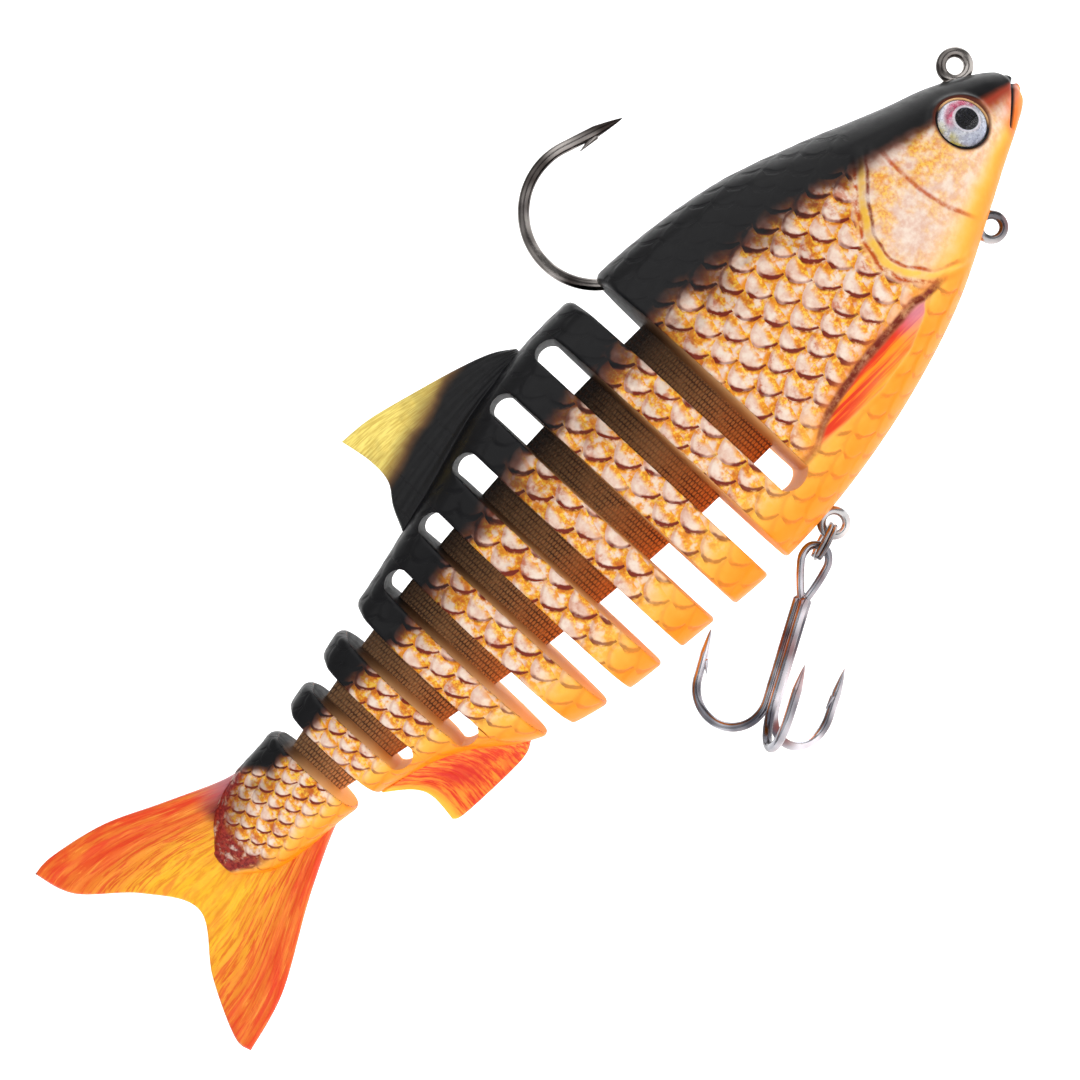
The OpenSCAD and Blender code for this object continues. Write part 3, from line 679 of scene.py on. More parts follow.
def piece(name, parts, materials, replaces=(), rides=None, slot=None, merge=2e-6):
    # one object out of its grids: doubles merged, normals outwards, smooth
    keys = sorted({k for part in parts for k in part["values"]})
    starts = np.cumsum([0] + [len(part["points"]) for part in parts[:-1]])
    points = np.concatenate([part["points"] for part in parts]) * mm
    faces = np.concatenate([part["faces"] + s for part, s in zip(parts, starts)])
    mesh = bpy.data.meshes.new(name)
    mesh.from_pydata(points.tolist(), [], faces.tolist())
    for key in keys:
        rows = [part["values"].get(key, np.zeros((len(part["points"]), 3))) for part in parts]
        attribute = mesh.attributes.new(key, "FLOAT_VECTOR", "POINT")
        attribute.data.foreach_set("vector", np.concatenate(rows).astype(np.float32).ravel())
    finishNumbers = np.concatenate([part["finish"] for part in parts])
    mesh.polygons.foreach_set("material_index", finishNumbers.astype(np.int32))
    shape = bmesh.new()
    shape.from_mesh(mesh)
    bmesh.ops.remove_doubles(shape, verts=shape.verts, dist=merge)
    bmesh.ops.dissolve_degenerate(shape, edges=shape.edges, dist=1e-7)
    outwards(shape)
    shape.to_mesh(mesh)
    shape.free()
    return finished(name, mesh, materials, replaces, rides, slot)


def finished(name, mesh, materials, replaces=(), rides=None, slot=None):
    mesh.polygons.foreach_set("use_smooth", np.ones(len(mesh.polygons), bool))
    for material in materials:
        mesh.materials.append(material)
    made = bpy.data.objects.new(name, mesh)
    scene.collection.objects.link(made)
    if replaces:
        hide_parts(*replaces)
    if rides:
        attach(made, rides)
    return made


def leanAt(z):
    return body["lean"] * (z - body["leanZ"])


def skinValues(p):  # what the skin's material needs to know at each point
    x, y, z = p[..., 0], p[..., 1], p[..., 2]
    run, arc = scaleMap(x, z)
    gill, cheek, fin, mouth = markDistances(x, z)
    edge = np.interp(body["snout"] - x, *backEdge)
    eye, _ = eyeDistance(p)
    fin = np.where(np.abs(y) > 0.8, fin, -3)
    return {"scales": np.stack([run, arc, shareOf(x, z)], -1), "marks": np.stack([gill, cheek, fin], -1),
            "more": np.stack([edge, mouth, np.where(x > -14, eye, 9)], -1),
            "fins": np.stack([bendLine(x, headMarks["finX"], headMarks["finTop"]) - z, 0 * z, 0 * z], -1)}


def raised(p, flat, inset):
    # the skin pushed out along its normal by its relief, or in by an inset at a rounded edge
    x, z = flat[..., 0], flat[..., 2]
    n = skinNormal(x, z)
    n[..., 1] *= np.sign(p[..., 1] + 1e-9 * np.sign(flat[..., 1] + 1e-12))
    lift = relief(x, p[..., 1], z) - inset
    out = p + n * lift[..., None]
    middle = np.abs(flat[..., 1]) < 1e-6
    out[..., 1] = np.where(middle, 0, out[..., 1])
    return out


def sliceSkin(rear, front, leans, drafts, s, inset, lowest=None, highest=None, v=None):
    # s is the share of the way from the rear face to the front one, given for every ring and row
    x0 = mix(rear, front, s)
    tilt, draft = mix(leans[0], leans[1], s), mix(drafts[0], drafts[1], s)
    rise = (1 - np.cos(np.pi * v)) / 2

    def leaned(z):
        return x0 - tilt * (z - body["leanZ"])
    low = belly(leaned(belly(x0))) if lowest is None else lowest
    top = back(leaned(back(x0))) if highest is None else highest
    z = mix(low, top, rise)
    x = leaned(z)
    y = skin(x, z)
    if lowest is None:
        y[:, 0] = 0      # the two sides meet along the belly and the back
    if highest is None:
        y[:, -1] = 0
    sides = []
    for side in (1, -1):
        flat = np.stack([x, side * y, z], -1)
        p = flat.copy()
        p[..., 0] += y * draft
        sides.append((raised(p, flat, inset), flat))
    return sides


def ringShares(thick, columns, rearRound=None, frontRound=None):
    # shares of the way from the rear face to the front one, and how far the skin lies in at each:
    # a quarter circle at a rounded edge, where the inset falls from its radius to nothing
    quarter = np.linspace(0, np.pi / 2, 5)[:, None]
    lead, dip = 1 - np.cos(quarter), 1 - np.sin(quarter)
    none = np.zeros((0, body["rows"] + 1))
    first = none if rearRound is None else rearRound * lead / thick
    last = none if frontRound is None else 1 - frontRound * lead[::-1] / thick
    middle = mix(first[-1] if len(first) else 0, last[0] if len(last) else 1,
                 columns + 0 * np.zeros(body["rows"] + 1))
    shares = np.concatenate([first, middle, last])
    insets = [r if r is None else r * d for r, d in ((rearRound, dip), (frontRound, dip[::-1]))]
    return shares, np.concatenate([none if insets[0] is None else insets[0], 0 * middle,
                                   none if insets[1] is None else insets[1]])


# the two sides of the skin and their flat places, joined into whole rings
def wholeRings(sides):
    (plus, plusFlat), (minus, minusFlat) = sides
    return (np.concatenate([plus, minus[:, -2:0:-1]], 1),
            np.concatenate([plusFlat, minusFlat[:, -2:0:-1]], 1))


def endFace(sides, at, draft, columns=15):
    # a face across the body, a shallow V: the middle of a slot is narrower than its mouth
    plus, minus = sides[0][0][at], sides[1][0][at]
    face = mix(minus[None], plus[None], np.linspace(0, 1, columns)[:, None, None])
    face[..., 0] = plus[None, :, 0] + (np.abs(face[..., 1]) - np.abs(plus[None, :, 1])) * draft
    shares = shareOf(face[..., 0], face[..., 2])
    return grid(face, finish=1, scales=np.stack([0 * shares, 0 * shares, shares], -1))


rowShares = np.linspace(0, 1, body["rows"] + 1)[None]


def makeSlice(i):
    # a slice of the body: its skin, rounded edges and two flat faces
    rear, front, drafts = slotFront(i + 1), slotRear(i), [body["draft"], -body["draft"]]
    shares, inset = ringShares(front - rear, np.linspace(0, 1, 23)[1:-1, None], rimRounding(i + 1),
                               rimRounding(i))
    sides = sliceSkin(rear, front, [body["lean"]] * 2, drafts, shares, inset, v=rowShares)
    ring, flat = wholeRings(sides)
    parts = [grid(ring, wrapRound=True, **skinValues(flat)), endFace(sides, 0, drafts[0]),
             endFace(sides, -1, drafts[1])]
    piece(f"slice_{i}", parts, [finishes["skin"], finishes["wall"]], replaces=[f"section_{i}"],
          rides=f"slice_{i}",
          slot="flank_plastic")


def slotFront(i):
    return body["slots"][i - 1] + body["slotWide"][i - 1] / 2


def slotRear(i):
    return body["slots"][i - 1] - body["slotWide"][i - 1] / 2


def rimRounding(i):
    # rounding of the edges along slot i: small where a web closes the slot, large at an open back
    v = np.linspace(0, 1, body["rows"] + 1)
    share = (1 - np.cos(np.pi * v)) / 2
    x = body["slots"][i - 1]
    z = mix(belly(x), back(x), share)
    r = body["rimRound"] + 0 * v
    closed = 0.015
    if 2 <= i <= 6:
        edge = back(x) - body["backWeb"] - 1.2
        r = mix(r, closed, smooth(edge - 0.5, edge + 0.9, z))
    else:
        r = r + (body["topRound"] - body["rimRound"]) * smooth(0.9, 0.99, share)
    if i in (1, 7, 8):
        edge = belly(x) + (body["throatWeb"] if i == 1 else body["bellyWeb"]) + 1.2
        r = mix(r, closed, 1 - smooth(edge - 0.9, edge + 0.5, z))
    return r[None]


def makeHead():
    front, rear = body["snout"], slotFront(1)
    columns = np.sin(np.linspace(0, np.pi / 2, 231))[1:, None]      # closest together at the snout
    shares, inset = ringShares(front - rear, columns, rearRound=rimRounding(1))
    sides = sliceSkin(rear, front, [body["lean"], 0], [body["draft"], 0], shares, inset, v=rowShares)
    ring, flat = wholeRings(sides)
    # the snout closes in a few shrinking rings that bulge forward
    last = ring[-1]
    centre = np.array([front, 0, (last[0, 2] + last[body["rows"], 2]) / 2])
    shrink = np.cos(np.linspace(0, np.pi / 2, 9))[1:, None, None]
    nose = centre + (last[None] - centre) * shrink
    nose[..., 0] = last[None, :, 0] + 0.55 * np.sqrt(1 - shrink[..., 0]**2)
    nose[..., 0] -= 0.5 * np.exp(-((nose[..., 2] + 6.3) / 0.3)**2)
    nose[-1] = nose[-1].mean(0)
    points = np.concatenate([ring, nose])
    flat = np.concatenate([flat, np.clip(nose, None, [front - 1e-3, 99, 99])])
    # sockets for the eyes, with a low rim round them
    r, depth = eyeDistance(points)
    radius = headMarks["eyeRadius"]
    nearEye = points[..., 0] > -12
    direction = np.broadcast_to(eyeAxis, points.shape).copy()
    direction[..., 1] *= np.where(points[..., 1] > 0, -1, 1)
    push = np.where(nearEye, 0.28 * np.exp(-((r - radius - 0.5) / 0.4)**2), 0)
    sink = np.where(nearEye & (r < radius + 0.15),
                    -(depth + 0.75) * (1 - smooth(radius - 0.3, radius + 0.07, r)), 0)
    points = points + direction * (push + sink)[..., None]
    parts = [grid(points, wrapRound=True, **skinValues(flat)), endFace(sides, 0, body["draft"])]
    piece("head", parts, [finishes["skin"], finishes["wall"]], replaces=["head_body"], rides="head",
          slot="flank_plastic")


makeHead()
for i in range(1, 9):
    makeSlice(i)
print("head and slices made")


def makeTail():
    rear, front = body["snout"] - 132.5, slotRear(9)
    columns = np.linspace(0, 1, 71)[:-1, None] ** 0.8
    shares, inset = ringShares(front - rear, columns, frontRound=rimRounding(9))
    sides = sliceSkin(rear, front, [0, body["lean"]], [0, -body["draft"]], shares, inset, v=rowShares)
    ring, flat = wholeRings(sides)
    last = ring[0]
    centre = last.mean(0)
    shrink = np.cos(np.linspace(0, np.pi / 2, 6))[1:, None, None][::-1]
    end = centre + (last[None] - centre) * shrink
    end[..., 0] -= 0.7 * np.sqrt(1 - shrink[..., 0]**2)
    end[0] = end[0].mean(0)
    flat = np.concatenate([np.broadcast_to(flat[0], end.shape), flat])
    parts = [grid(np.concatenate([end, ring]), wrapRound=True, **skinValues(flat)),
             endFace(sides, -1, -body["draft"])]
    piece("tail_stem", parts, [finishes["skin"], finishes["wall"]], replaces=["tail_section"], rides="tail",
          slot="flank_plastic")


makeTail()


def arch(x, i):  # the closed end of a slot is rounded
    t = np.minimum(np.abs(x - body["slots"][i - 1]) / body["slotWide"][i - 1] * 1.9, 0.96)
    return 0.45 * body["slotWide"][i - 1] * (1 - np.sqrt(1 - t * t))


def hinge(made, z):  # bakes the piece's placement into its points
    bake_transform(made)


def makeWeb(i, atBack, thick):
    # what is left of the body at the closed end of a slot, with a rounded floor
    v = np.linspace(0, 1, 61 if i == 1 else 41)[None]
    s = (1 - np.cos(np.linspace(0, np.pi, 25)))[:, None] / 2 + 0 * v
    x0 = body["slots"][i - 1]
    crown = arch(mix(slotRear(i), slotFront(i), s), i)
    ends = {"lowest": back(x0) - thick - crown} if atBack else {"highest": belly(x0) + thick + crown}
    sides = sliceSkin(slotRear(i), slotFront(i), [body["lean"]] * 2, [-body["draft"], body["draft"]], s,
                      0 * s, v=v, **ends)
    (plus, plusFlat), (minus, minusFlat) = sides
    near = 0 if atBack else -1
    across = np.linspace(0, 1, 25)[1:-1][None, :, None]
    floorRow = mix(minus[:, near][:, None], plus[:, near][:, None], across)
    if atBack:
        ring = np.concatenate([plus, minus[:, ::-1][:, 1:], floorRow], 1)
        flat = np.concatenate([plusFlat, minusFlat[:, ::-1][:, 1:], floorRow], 1)
    else:
        ring = np.concatenate([minus, floorRow, plus[:, :0:-1]], 1)
        flat = np.concatenate([minusFlat, floorRow, plusFlat[:, :0:-1]], 1)
    parts = [grid(ring, wrapRound=True, **skinValues(flat))]
    mark = np.zeros((ring.shape[0] - 1, ring.shape[1]), int)
    count = floorRow.shape[1]
    first = ring.shape[1] - count - 1 if atBack else plus.shape[1] - 1
    mark[:, first:first + count + 1] = 1
    parts[0]["finish"] = mark.ravel()
    parts += [endFace(sides, at, 0, 25) for at in (0, -1)]
    label = "back" if atBack else "belly"
    made = piece(f"{label}_bridge_{i}", parts, [finishes["skin"], finishes["wall"]],
                 replaces=[f"{label}_web_{i}"],
                 slot="flank_plastic")
    hinge(made, (back(x0) if atBack else belly(x0)).item())


makeWeb(1, False, body["throatWeb"])
for i in range(2, 7):
    makeWeb(i, True, body["backWeb"])
for i in (7, 8):
    makeWeb(i, False, body["bellyWeb"])
print("tail stem and webs made")


netting = {"thick": 0.6, "grip": 2.0, "thread": 0.42, "rib": 0.72, "relief": 0.12}


def netEdges(x):
    share = np.clip((x - body["slots"][0]) / (body["slots"][8] - body["slots"][0]), 0, None)
    return -17 + 6.7 * share**2, 4.2 - 6 * share**2.2


def makeNet(i):
    # a flat strip whose threads stand up in rows of short stitches between ribs
    rear, front = slotRear(i) - 0.3, slotFront(i) + netting["grip"]
    x0 = np.linspace(rear, front, 66)[:, None]
    low, top = netEdges(x0)
    v = np.linspace(0, 1, 300)[None]
    z = mix(low, top, v)
    x = x0 - leanAt(z)
    stitch = np.abs(np.sin(np.pi * (z / netting["thread"] + 0.5 * np.floor(x0 / netting["rib"]))))
    rib = np.abs(np.sin(np.pi * x0 / netting["rib"])) ** 0.6
    weave = stitch**0.7 * rib
    edge = np.minimum(smooth(0, 0.35, z - low), smooth(0, 0.35, top - z))
    half = (netting["thick"] / 2 - netting["relief"] * (1 - weave)) * np.sqrt(np.clip(edge, 0, 1))
    half[[0, -1]] = 0
    values = np.stack([weave, x0 + 0 * z, (z + 17) / 21.2], -1)
    parts = [grid(np.stack([x, side * half, z], -1), net=values) for side in (1, -1)]
    made = piece(f"net_strip_{i}", parts, [finishes["net"]], replaces=[f"net_{i}"], slot="net")
    hinge(made, -7.5)


for i in range(1, 10):
    makeNet(i)
print("net made")


def throughPoints(points, steps=16):  # a smooth run through a few points
    p = np.array(points, float)
    n = len(p) - 1
    i = np.arange(n)
    a, b, c, d = p[np.maximum(i - 1, 0)], p[i], p[i + 1], p[np.minimum(i + 2, n)]
    t = (np.arange(steps) / steps)[None, :, None]
    a, b, c, d = (q[:, None] for q in (a, b, c, d))
    run = 0.5 * (2 * b + (c - a) * t + (2 * a - 5 * b + 4 * c - d) * t**2 + (3 * b - a - 3 * c + d) * t**3)
    return np.concatenate([run.reshape(-1, 2), p[-1:]])


def evenly(points, count):  # the same run with points evenly spaced along it
    steps = np.concatenate([[0], np.cumsum(np.linalg.norm(np.diff(points, axis=0), axis=1))])
    at = np.linspace(0, steps[-1], count)
    return np.stack([np.interp(at, steps, points[:, 0]), np.interp(at, steps, points[:, 1])], -1)


def patchBetween(low, top, left, right):
    # a sheet between four curves: low and top run from left to right, left and right from low to top
    m, n = len(low), len(left)
    a, t = np.linspace(0, 1, m)[:, None, None], np.linspace(0, 1, n)[None, :, None]
    corners = ((1 - a) * (1 - t) * low[0] + a * (1 - t) * low[-1] + (1 - a) * t * top[0] + a * t * top[-1])
    sheet = (1 - t) * low[:, None] + t * top[:, None] + (1 - a) * left[None] + a * right[None] - corners
    return sheet, a[..., 0] + 0 * t[..., 0], t[..., 0] + 0 * a[..., 0]


def inX(points):  # distance behind the snout turned to x
    p = np.array(points, float)
    p[:, 0] = body["snout"] - p[:, 0]
    return p


def finMesh(name, sheet, half, values, materials):
    # two skins either side of the middle plane, meeting in a rounded edge
    x, z = sheet[..., 0], sheet[..., 1]
    parts = [grid(np.stack([x, side * half, z], -1), fin=values) for side in (1, -1)]
    return piece(name, parts, materials)


def edgeClose(distance, radius=0.35):
    return np.sqrt(np.clip(1 - (1 - np.clip(distance / radius, 0, 1))**2, 0, 1))


def cutFin(whole, name, rear, front, **extra):
    # keeps the part of a fin between two leaning planes and closes its ends
    mesh = whole.data.copy()
    shape = bmesh.new()
    shape.from_mesh(mesh)
    lean = math.atan(body["lean"])
    normal = Vector((math.cos(lean), 0, math.sin(lean)))
    for at, sign in ((rear, -1), (front, 1)):
        if at is None:
            continue
        everything = shape.verts[:] + shape.edges[:] + shape.faces[:]
        bmesh.ops.bisect_plane(shape, geom=everything, plane_co=Vector((at, 0, body["leanZ"])) * mm,
                               plane_no=normal * sign, clear_outer=True)
        rim = [e for e in shape.edges if e.is_boundary]
        if rim:
            filled = bmesh.ops.holes_fill(shape, edges=rim, sides=0)["faces"]
            bmesh.ops.triangulate(shape, faces=filled)
    outwards(shape)
    shape.to_mesh(mesh)
    shape.free()
    mesh.name = name
    count = len(mesh.polygons)
    materials = list(mesh.materials)
    mesh.materials.clear()
    if not count:
        return None
    return finished(name, mesh, materials, **extra)


dorsal = {"edge": [[64.5, 12.9], [67, 14.6], [71, 16.1], [77, 17.8], [83, 19.3], [87.3, 19.7]],
          "rear": [[87.3, 19.7], [86.5, 15.6], [86.7, 12.4], [88.4, 9.8], [89.8, 6.6]],
          "thick": 0.5, "flare": 1.1}
anal = {"edge": [[96.3, -21.8], [99, -22.7], [107.9, -22.5], [109.7, -21.9]],
        "rear": [[109.7, -21.9], [109.5, -18.3], [110.6, -16], [113.5, -13.6]],
        "thick": 0.5, "flare": 0.8}


def makeFins(shape, name, atBack, material, strips):
    m, n = 190, 70
    edge = evenly(inX(throughPoints(shape["edge"])), m)
    trail = evenly(inX(throughPoints(shape["rear"])), n)[::-1]      # from the root up to the tip
    x = np.linspace(edge[0, 0], trail[0, 0], m)
    root = np.stack([x, back(x) - 1 if atBack else belly(x) + 1], -1)
    trail[0] = root[-1]
    left = np.stack([np.full(n, edge[0, 0]), np.linspace(root[0, 1], edge[0, 1], n)], -1)
    sheet, a, t = patchBetween(root, edge, left, trail)
    skinLine = back(sheet[..., 0]) if atBack else belly(sheet[..., 0])
    above = (sheet[..., 1] - skinLine) * (1 if atBack else -1)
    high = np.linalg.norm(edge - root, axis=-1)[:, None]
    long = 24 if atBack else 16
    toEdge = np.minimum(np.minimum((1 - t) * high, (1 - a) * long), a * long * 0.4 + 0.05 * (1 - t))
    rays = 0.045 * np.sin((t if atBack else a) * (46 if atBack else 70) + (a if atBack else t) * 5)
    half = mix(shape["thick"], 0.3, np.clip(t, 0, 1)) + shape["flare"] * np.exp(-np.maximum(above, 0) / 1.1)
    half = (half + rays) * edgeClose(toEdge, 0.5)
    half[:, 0] = 0
    whole = finMesh(name, sheet, half, np.stack([a, t, above], -1), [material])
    for label, rear, front, i, ride in strips:
        made = cutFin(whole, label, rear, front, slot="fin_plastic", rides=ride)
        if made and not ride:
            hinge(made, (back if atBack else belly)(body["slots"][i - 1]).item())
    bpy.data.objects.remove(whole)


dorsalStrips = [("back_fin_slice_2", slotFront(3), None, 3, "slice_2")]
for i in (3, 4, 5):
    dorsalStrips.append((f"back_fin_bridge_{i}", slotRear(i), slotFront(i), i, None))
    dorsalStrips.append((f"back_fin_slice_{i}", slotFront(i + 1) if i < 5 else None, slotRear(i), i,
                         f"slice_{i}"))
analStrips = [("belly_fin_slice_6", slotFront(7), None, 7, "slice_6")]
for i in (7, 8):
    analStrips.append((f"belly_fin_bridge_{i}", slotRear(i), slotFront(i), i, None))
    analStrips.append((f"belly_fin_slice_{i}", slotFront(i + 1) if i < 8 else None, slotRear(i), i,
                       f"slice_{i}"))
makeFins(dorsal, "dorsal_whole", True, finishes["dorsal"], dorsalStrips)
makeFins(anal, "anal_whole", False, finishes["anal"], analStrips)

tailShape = {"upper": [[122, 0], [126, 0.9], [133, 4], [140, 7.2], [147, 8.8], [150, 8.7]],
             "trail": [[150, 8.7], [148.3, 3.7], [142.5, -2], [139, -8.3], [143.5, -15], [146.7, -22],
                       [146.5, -24.6]],
             "lower": [[118.5, -11.9], [122, -13.3], [126, -15.2], [130, -17.3], [139, -22.4],
                       [146.5, -24.6]],
             "root": [[122, 0], [124.6, -3], [125.4, -6.4], [123, -9.6], [118.5, -11.9]]}


def makeTailFin():
    m, n = 110, 240
    upper, lower = (evenly(inX(throughPoints(tailShape[k])), m) for k in ("upper", "lower"))
    root, trail = (evenly(inX(throughPoints(tailShape[k])), n) for k in ("root", "trail"))
    # a from root to trailing edge, t from top to bottom
    sheet, a, t = patchBetween(upper, lower, root, trail)
    long = 24.0
    half = mix(0.75, 0.34, smooth(0.0, 0.9, a)) + 0.9 * np.exp(-a * long / 2.2)
    half = half + 0.06 * np.sin(t * 92 + 4 * a) * smooth(0.08, 0.25, a)
    across = np.linalg.norm(lower - upper, axis=-1)[:, None]
    toEdge = np.minimum(np.minimum(t, 1 - t) * across, (1 - a) * long)
    half = half * edgeClose(toEdge, 0.55)
    half[0] = 0
    x, z = sheet[..., 0], sheet[..., 1]
    parts = [grid(np.stack([x, side * half, z], -1), fin=np.stack([a, t, 0 * a], -1)) for side in (1, -1)]
    piece("tail_fan", parts, [finishes["tail"]], replaces=["tail_fin"], rides="tail", slot="fin_plastic")


makeTailFin()
print("fins made")


def makeEyes():
    radius = headMarks["eyeRadius"]
    for side, label in ((-1, "right"), (1, "left")):
        flip = np.array([1, -side, 1])
        r = np.linspace(0, 1, 26)[:, None]
        angle = np.linspace(0, 2 * np.pi, 97)[None, :-1]
        ex, ez = radius * r * np.cos(angle), radius * r * np.sin(angle)

        def at(ex, ez, out):
            steps = np.stack(np.broadcast_arrays(ex, ez, out), -1)
            return (eyeCentre + steps @ np.array([eyeAlong, eyeUp, eyeAxis])) * flip
        values = np.stack([ex, ez, radius * r + 0 * ex], -1)
        dish = 0.4 + 0.05 * np.exp(-((radius * r - 1.7) / 0.25)**2)
        top = at(ex, ez, dish + 0 * ex)
        bottom = at(ex, ez, -0.4 + 0 * ex)
        piece(f"iris_foil_{label}", [grid(top, wrapRound=True, eye=values),
                                     grid(bottom, wrapRound=True, eye=values),
                                     grid(np.stack([top[-1], bottom[-1]]), wrapRound=True,
                                          eye=np.stack([values[-1]] * 2))],
              [finishes["iris"]], replaces=[f"iris_{label}"], rides="head", slot="foil")
        rise = np.sqrt(np.clip(1 - 0.87 * r**2, 0, 1))
        rise = (rise - rise[-1]) / (1 - rise[-1])
        dome = at(ex * 0.995, ez * 0.995, 0.47 + 0.98 * rise + 0 * ex)
        base = at(ex * 0.995, ez * 0.995, 0.47 + 0 * ex)
        piece(f"clear_eye_{label}", [grid(dome, wrapRound=True), grid(base, wrapRound=True)],
              [finishes["dome"]], replaces=[f"lens_{label}"], rides="head", slot="clear_dome")
        # the moulded lip that holds the eye
        around, tube = np.linspace(0, 2 * np.pi, 121)[:-1, None], np.linspace(0, 2 * np.pi, 17)[None, :-1]
        rim = radius + 0.06 + 0.13 * np.cos(tube)
        lip = at(rim * np.cos(around), rim * np.sin(around), 0.46 + 0.22 * np.sin(tube) + 0 * around)
        # paler towards the snout
        dark = mix(0.95, 0.5, smooth(-0.2, 0.7, np.cos(around - 0.5))) + 0 * tube
        piece(f"eye_lip_{label}", [grid(lip, wrapLong=True, wrapRound=True,
              scales=np.stack([0 * dark, 0 * dark, dark], -1))],
              [finishes["wall"]], rides="head", slot="back_plastic")


makeEyes()


def sweep(path, radius, sides=20, closed=False):
    # a round wire along a run in the middle plane: each ring stands square to the run
    tangent = np.gradient(path, axis=0)
    if closed:
        tangent = np.roll(path, -1, 0) - np.roll(path, 1, 0)
    tangent /= np.linalg.norm(tangent, axis=1, keepdims=True)
    out = np.stack([-tangent[:, 1], tangent[:, 0]], -1)
    turn = np.linspace(0, 2 * np.pi, sides + 1)[None, :-1]
    radius = np.broadcast_to(radius, len(path))[:, None]
    x = path[:, None, 0] + out[:, None, 0] * radius * np.cos(turn)
    z = path[:, None, 1] + out[:, None, 1] * radius * np.cos(turn)
    return grid(np.stack([x, radius * np.sin(turn), z], -1), wrapLong=closed, wrapRound=True)


def arcRun(centre, radius, start, end, count=60):
    angle = np.radians(np.linspace(start, end, count))
    return np.stack([centre[0] + radius * np.cos(angle), centre[1] + radius * np.sin(angle)], -1)


def straight(a, b, count=12):
    return np.linspace(a, b, count)


def barbFrom(heel, top, thick):  # a thin blade raised from the inside of the wire, closed at both ends
    sizes = np.linspace(thick, 0.03, 10)
    sizes[[0, -1]] = 0
    return sweep(straight(heel, top, 10), sizes, 12)


def moved(part, change):  # the same grid with its points changed
    return {**part, "points": change(part["points"])}


hook = {"wire": 1.45, "gape": 17.4, "point": 8, "tieWire": 1.25, "tieBore": 2.05, "centre": (-43.0, 17.8)}


def makeJigHook():
    r, bend = hook["wire"] / 2, hook["gape"] / 2
    centre = np.array(hook["centre"])
    tie = (hook["tieBore"] + hook["tieWire"]) / 2
    foot = np.array([0, -tie])
    reach = np.linalg.norm(foot - centre)
    toFoot = math.atan2(foot[1] - centre[1], foot[0] - centre[0])
    turned = 360 + math.degrees(toFoot) - math.degrees(math.acos(bend / reach))
    away = np.array([math.sin(math.radians(72)), -math.cos(math.radians(72))])
    arcs = arcRun(centre, bend, turned, 72, 90)
    start = arcs[-1]
    tip = start + hook["point"] * away
    path = np.concatenate([straight(foot, arcs[0], 30)[:-1], arcs, straight(start, tip, 40)[1:]])
    left = np.linalg.norm(path - tip, axis=1)
    radius = r * np.clip(left / 3.6, 0, 1) ** 0.75
    radius[:len(path) - 60] = r
    radius[0] = 0
    side = np.array([away[1], -away[0]])
    heel, top = tip - 3.6 * away + side * 0.35, tip - 6.6 * away + side * 1.35
    barb = barbFrom(heel, top, 0.55)
    ring = sweep(arcRun((0, 0), tie, 0, 360, 73)[:-1], hook["tieWire"] / 2, 24, True)
    parts = [sweep(path, radius, 28), ring, barb]
    piece("top_hook", parts, [finishes["hook"]], replaces=["jig_hook"], rides="head", slot="hook_steel")


makeJigHook()

rig = {"wire": 1.1, "bore": 1.9, "throat": (-10.5, -16.86), "eye": (-48.93, -28.8),
       "ring": 4.6, "ringWire": 0.6, "ringPitch": -18,
       "trebleWire": 1.15, "gape": 9.9, "length": 24.3, "pitch": 28.5, "phase": 24}


def makeHarness():
    r, eye = rig["wire"] / 2, (rig["wire"] + rig["bore"]) / 2
    throat, low = np.array(rig["throat"]), np.array(rig["eye"])
    a, b = throat + (-3.5, 5.6), low + (5, 5)
    run = np.concatenate([straight(throat + (-0.2, eye), a)[:-1], straight(a, b, 30)[:-1],
                          straight(b, low + (0.2, eye))])
    ends = np.ones(len(run)) * r
    ends[[0, -1]] = 0
    eyes = [sweep(arcRun(c, eye, 0, 360, 61)[:-1], r, 22, True) for c in (throat, low)]
    parts = [sweep(run, ends, 16)] + eyes
    piece("belly_wire", parts, [finishes["ring"]], replaces=["belly_harness"], rides="head",
          slot="ring_steel")


makeHarness()


def makeSplitRing():
    # two turns of wire side by side, the end of each lying on the other
    slope = math.radians(rig["ringPitch"])
    away = np.array([-math.cos(slope), 0, math.sin(slope)])
    normal = np.array([-math.sin(slope), 0, -math.cos(slope)])
    near = np.array([rig["eye"][0], 0, rig["eye"][1]]) + 0.2 * away
    centre = near + rig["ring"] / 2 * away
    turn = np.linspace(0.35, 4 * np.pi - 0.35, 220)
    wire = rig["ringWire"] / 2
    rise = 0.46 * rig["ringWire"] * np.tanh((turn - 2 * np.pi) / 0.7)
    across = np.array([0, 1.0, 0])
    radial = np.cos(turn)[:, None] * away + np.sin(turn)[:, None] * across
    path = centre + radial * rig["ring"] / 2 + rise[:, None] * normal
    roundWire = np.linspace(0, 2 * np.pi, 15)[None, :-1, None]
    toEnd = np.minimum(turn - turn[0], turn[-1] - turn) * rig["ring"] / 2
    size = (wire * edgeClose(toEnd, 0.3))[:, None, None]
    section = np.cos(roundWire) * radial[:, None] + 0.94 * np.sin(roundWire) * normal
    points = path[:, None] + size * section
    piece("split_ring_wire", [grid(points, wrapRound=True)], [finishes["ring"]], replaces=["split_ring"],
          rides="ring",
          slot="ring_steel")
    return centre + rig["ring"] / 2 * away


ringFar = makeSplitRing()


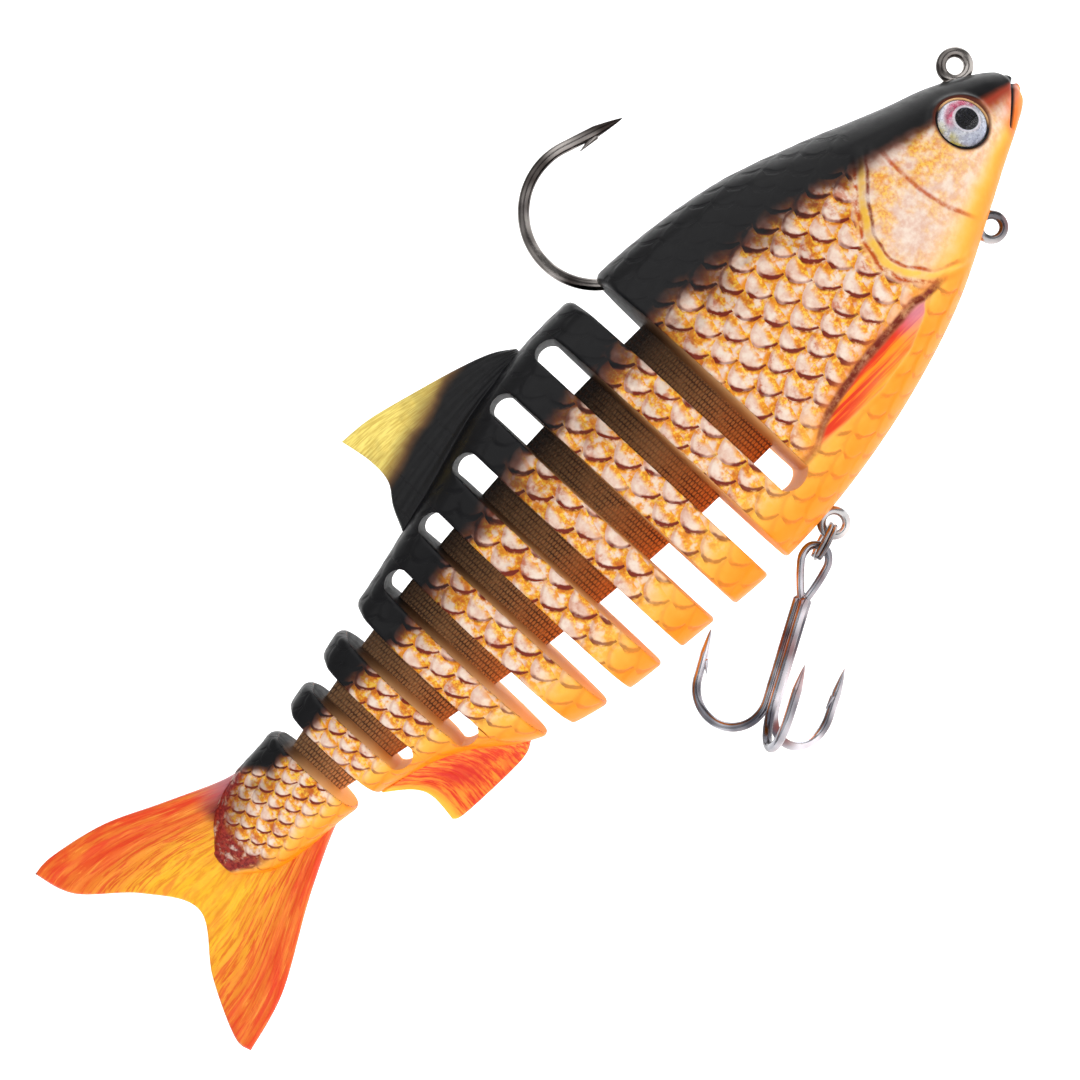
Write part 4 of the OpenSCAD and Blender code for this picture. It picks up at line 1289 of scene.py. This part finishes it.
def makeTreble():
    r = rig["trebleWire"] / 2
    crown = -1.6 + rig["length"]
    offset = rig["trebleWire"] / math.sqrt(3)
    crook = (rig["gape"] - offset) / 2
    slope = math.radians(rig["pitch"])

    def toPlace(phase):
        c, s = math.cos(math.radians(phase)), math.sin(math.radians(phase))
        spin = np.array([[1, 0, 0], [0, c, -s], [0, s, c]])
        flip = np.diag([-1, -1, 1])
        tilt = np.array([[math.cos(slope), 0, -math.sin(slope)], [0, 1, 0],
                         [math.sin(slope), 0, math.cos(slope)]])
        whole = tilt @ flip @ spin
        return lambda p: p @ whole.T + ringFar

    def hookParts(phase):
        bendRun = arcRun((crown - crook, offset + crook), crook, -90, 90, 60)
        tip = np.array([crown - 10.8, rig["gape"] + 0.2])
        path = np.concatenate([straight(np.array([4.6, offset]), bendRun[0], 24)[:-1], bendRun,
                               straight(bendRun[-1], tip, 40)[1:]])
        left = np.linalg.norm(path - tip, axis=1)
        radius = np.where(left < 3.1, r * np.clip(left / 3.1, 0, 1) ** 0.75, r)
        radius[:60] = r
        radius[0] = 0
        heel, top = np.array([crown - 7.2, rig["gape"] - 0.3]), np.array([crown - 5.2, rig["gape"] - 0.95])
        barb = barbFrom(heel, top, 0.4)
        return [moved(sweep(path, radius, 24), toPlace(phase)), moved(barb, toPlace(phase))]
    # a pear-shaped eye, narrow enough to pass the belly eye when the treble swings forward
    upper = [[5.2, 0.25], [3.4, 0.9], [1.6, 1.4], [0.1, 1.62], [-1.2, 1.1]]
    lower = [[along, -across] for along, across in reversed(upper)]
    loop = throughPoints(upper + [[-1.6, 0]] + lower, 10)
    ends = np.full(len(loop), 0.5)
    ends[[0, -1]] = 0
    flat = sweep(loop, ends, 20)
    braze = np.linspace(0, 1, 30)
    collar = sweep(np.stack([mix(4.3, crown - crook - 1.5, braze), 0 * braze], -1),
                   0.62 * edgeClose(np.minimum(braze, 1 - braze) * 14, 1.5), 18)
    parts = hookParts(rig["phase"] + 120) + hookParts(rig["phase"] + 240)
    parts += [moved(flat, toPlace(0)), moved(collar, toPlace(0))]
    piece("treble_pair", parts, [finishes["treble"]], replaces=["treble_double"], rides="treble",
          slot="hook_steel")
    piece("treble_third", hookParts(rig["phase"]), [finishes["treble"]], replaces=["treble_single"],
          rides="treble", slot="hook_steel")


makeTreble()
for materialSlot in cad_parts["ballast"].material_slots:
    materialSlot.material = finishes["lead"]
print("eyes and metal made")


studio = {
    "floorZ": -52, "white": (0.93, 0.93, 0.93, 1), "glow": 0.62, "world": 0.32,
    "lamps": {"key": [(250, -1000, 1250), 1.8, 12.6], "fill": [(-1250, -900, 350), 1.8, 5],
              "rim": [(900, 300, 700), 1.0, 5.5]},
}


def makeStage():
    f = Finish("studio_sweep", Specular_IOR_Level=0.1, Emission_Color=(1, 1, 1, 1),
               Emission_Strength=studio["glow"])
    soft = f.noise(f.place(), 3.0, 1.0)
    material = f.finish(f.colours(soft, studio["white"], (0.95, 0.95, 0.95, 1)),
                        f.step(soft, 0.0, 1.0, 0.85, 0.95))
    # floor that curves up into a wall behind the object
    run = np.concatenate([straight(np.array([-1500.0, studio["floorZ"]]),
                                   np.array([500.0, studio["floorZ"]]), 20)[:-1],
                          arcRun((500, studio["floorZ"] + 400), 400, -90, 0, 24)[:-1],
                          straight(np.array([900.0, studio["floorZ"] + 400]), np.array([900.0, 2200.0]),
                                   12)])
    x = np.linspace(-2500, 2500, 12)[None]
    points = np.stack([x + 0 * run[:, :1], run[:, :1] + 0 * x, run[:, 1:] + 0 * x], -1)
    sweepFloor = piece("studio_sweep", [grid(points)], [material])
    world = bpy.data.worlds.new("soft_room")
    scene.world = world
    world.use_nodes = True
    world.node_tree.nodes["Background"].inputs[0].default_value = (1, 1, 1, 1)
    world.node_tree.nodes["Background"].inputs[1].default_value = studio["world"]
    target = Vector((-60, 0, -5)) * mm
    for name, (place, size, power) in studio["lamps"].items():
        data = bpy.data.lights.new(name, "AREA")
        data.size = size
        data.energy = power
        lamp = bpy.data.objects.new(name, data)
        scene.collection.objects.link(lamp)
        spot = Vector(place) * mm
        aimed = (target - spot).to_track_quat("-Z", "Y").to_matrix().to_4x4()
        lamp.matrix_world = Matrix.Translation(spot) @ aimed


makeStage()
print("studio made")
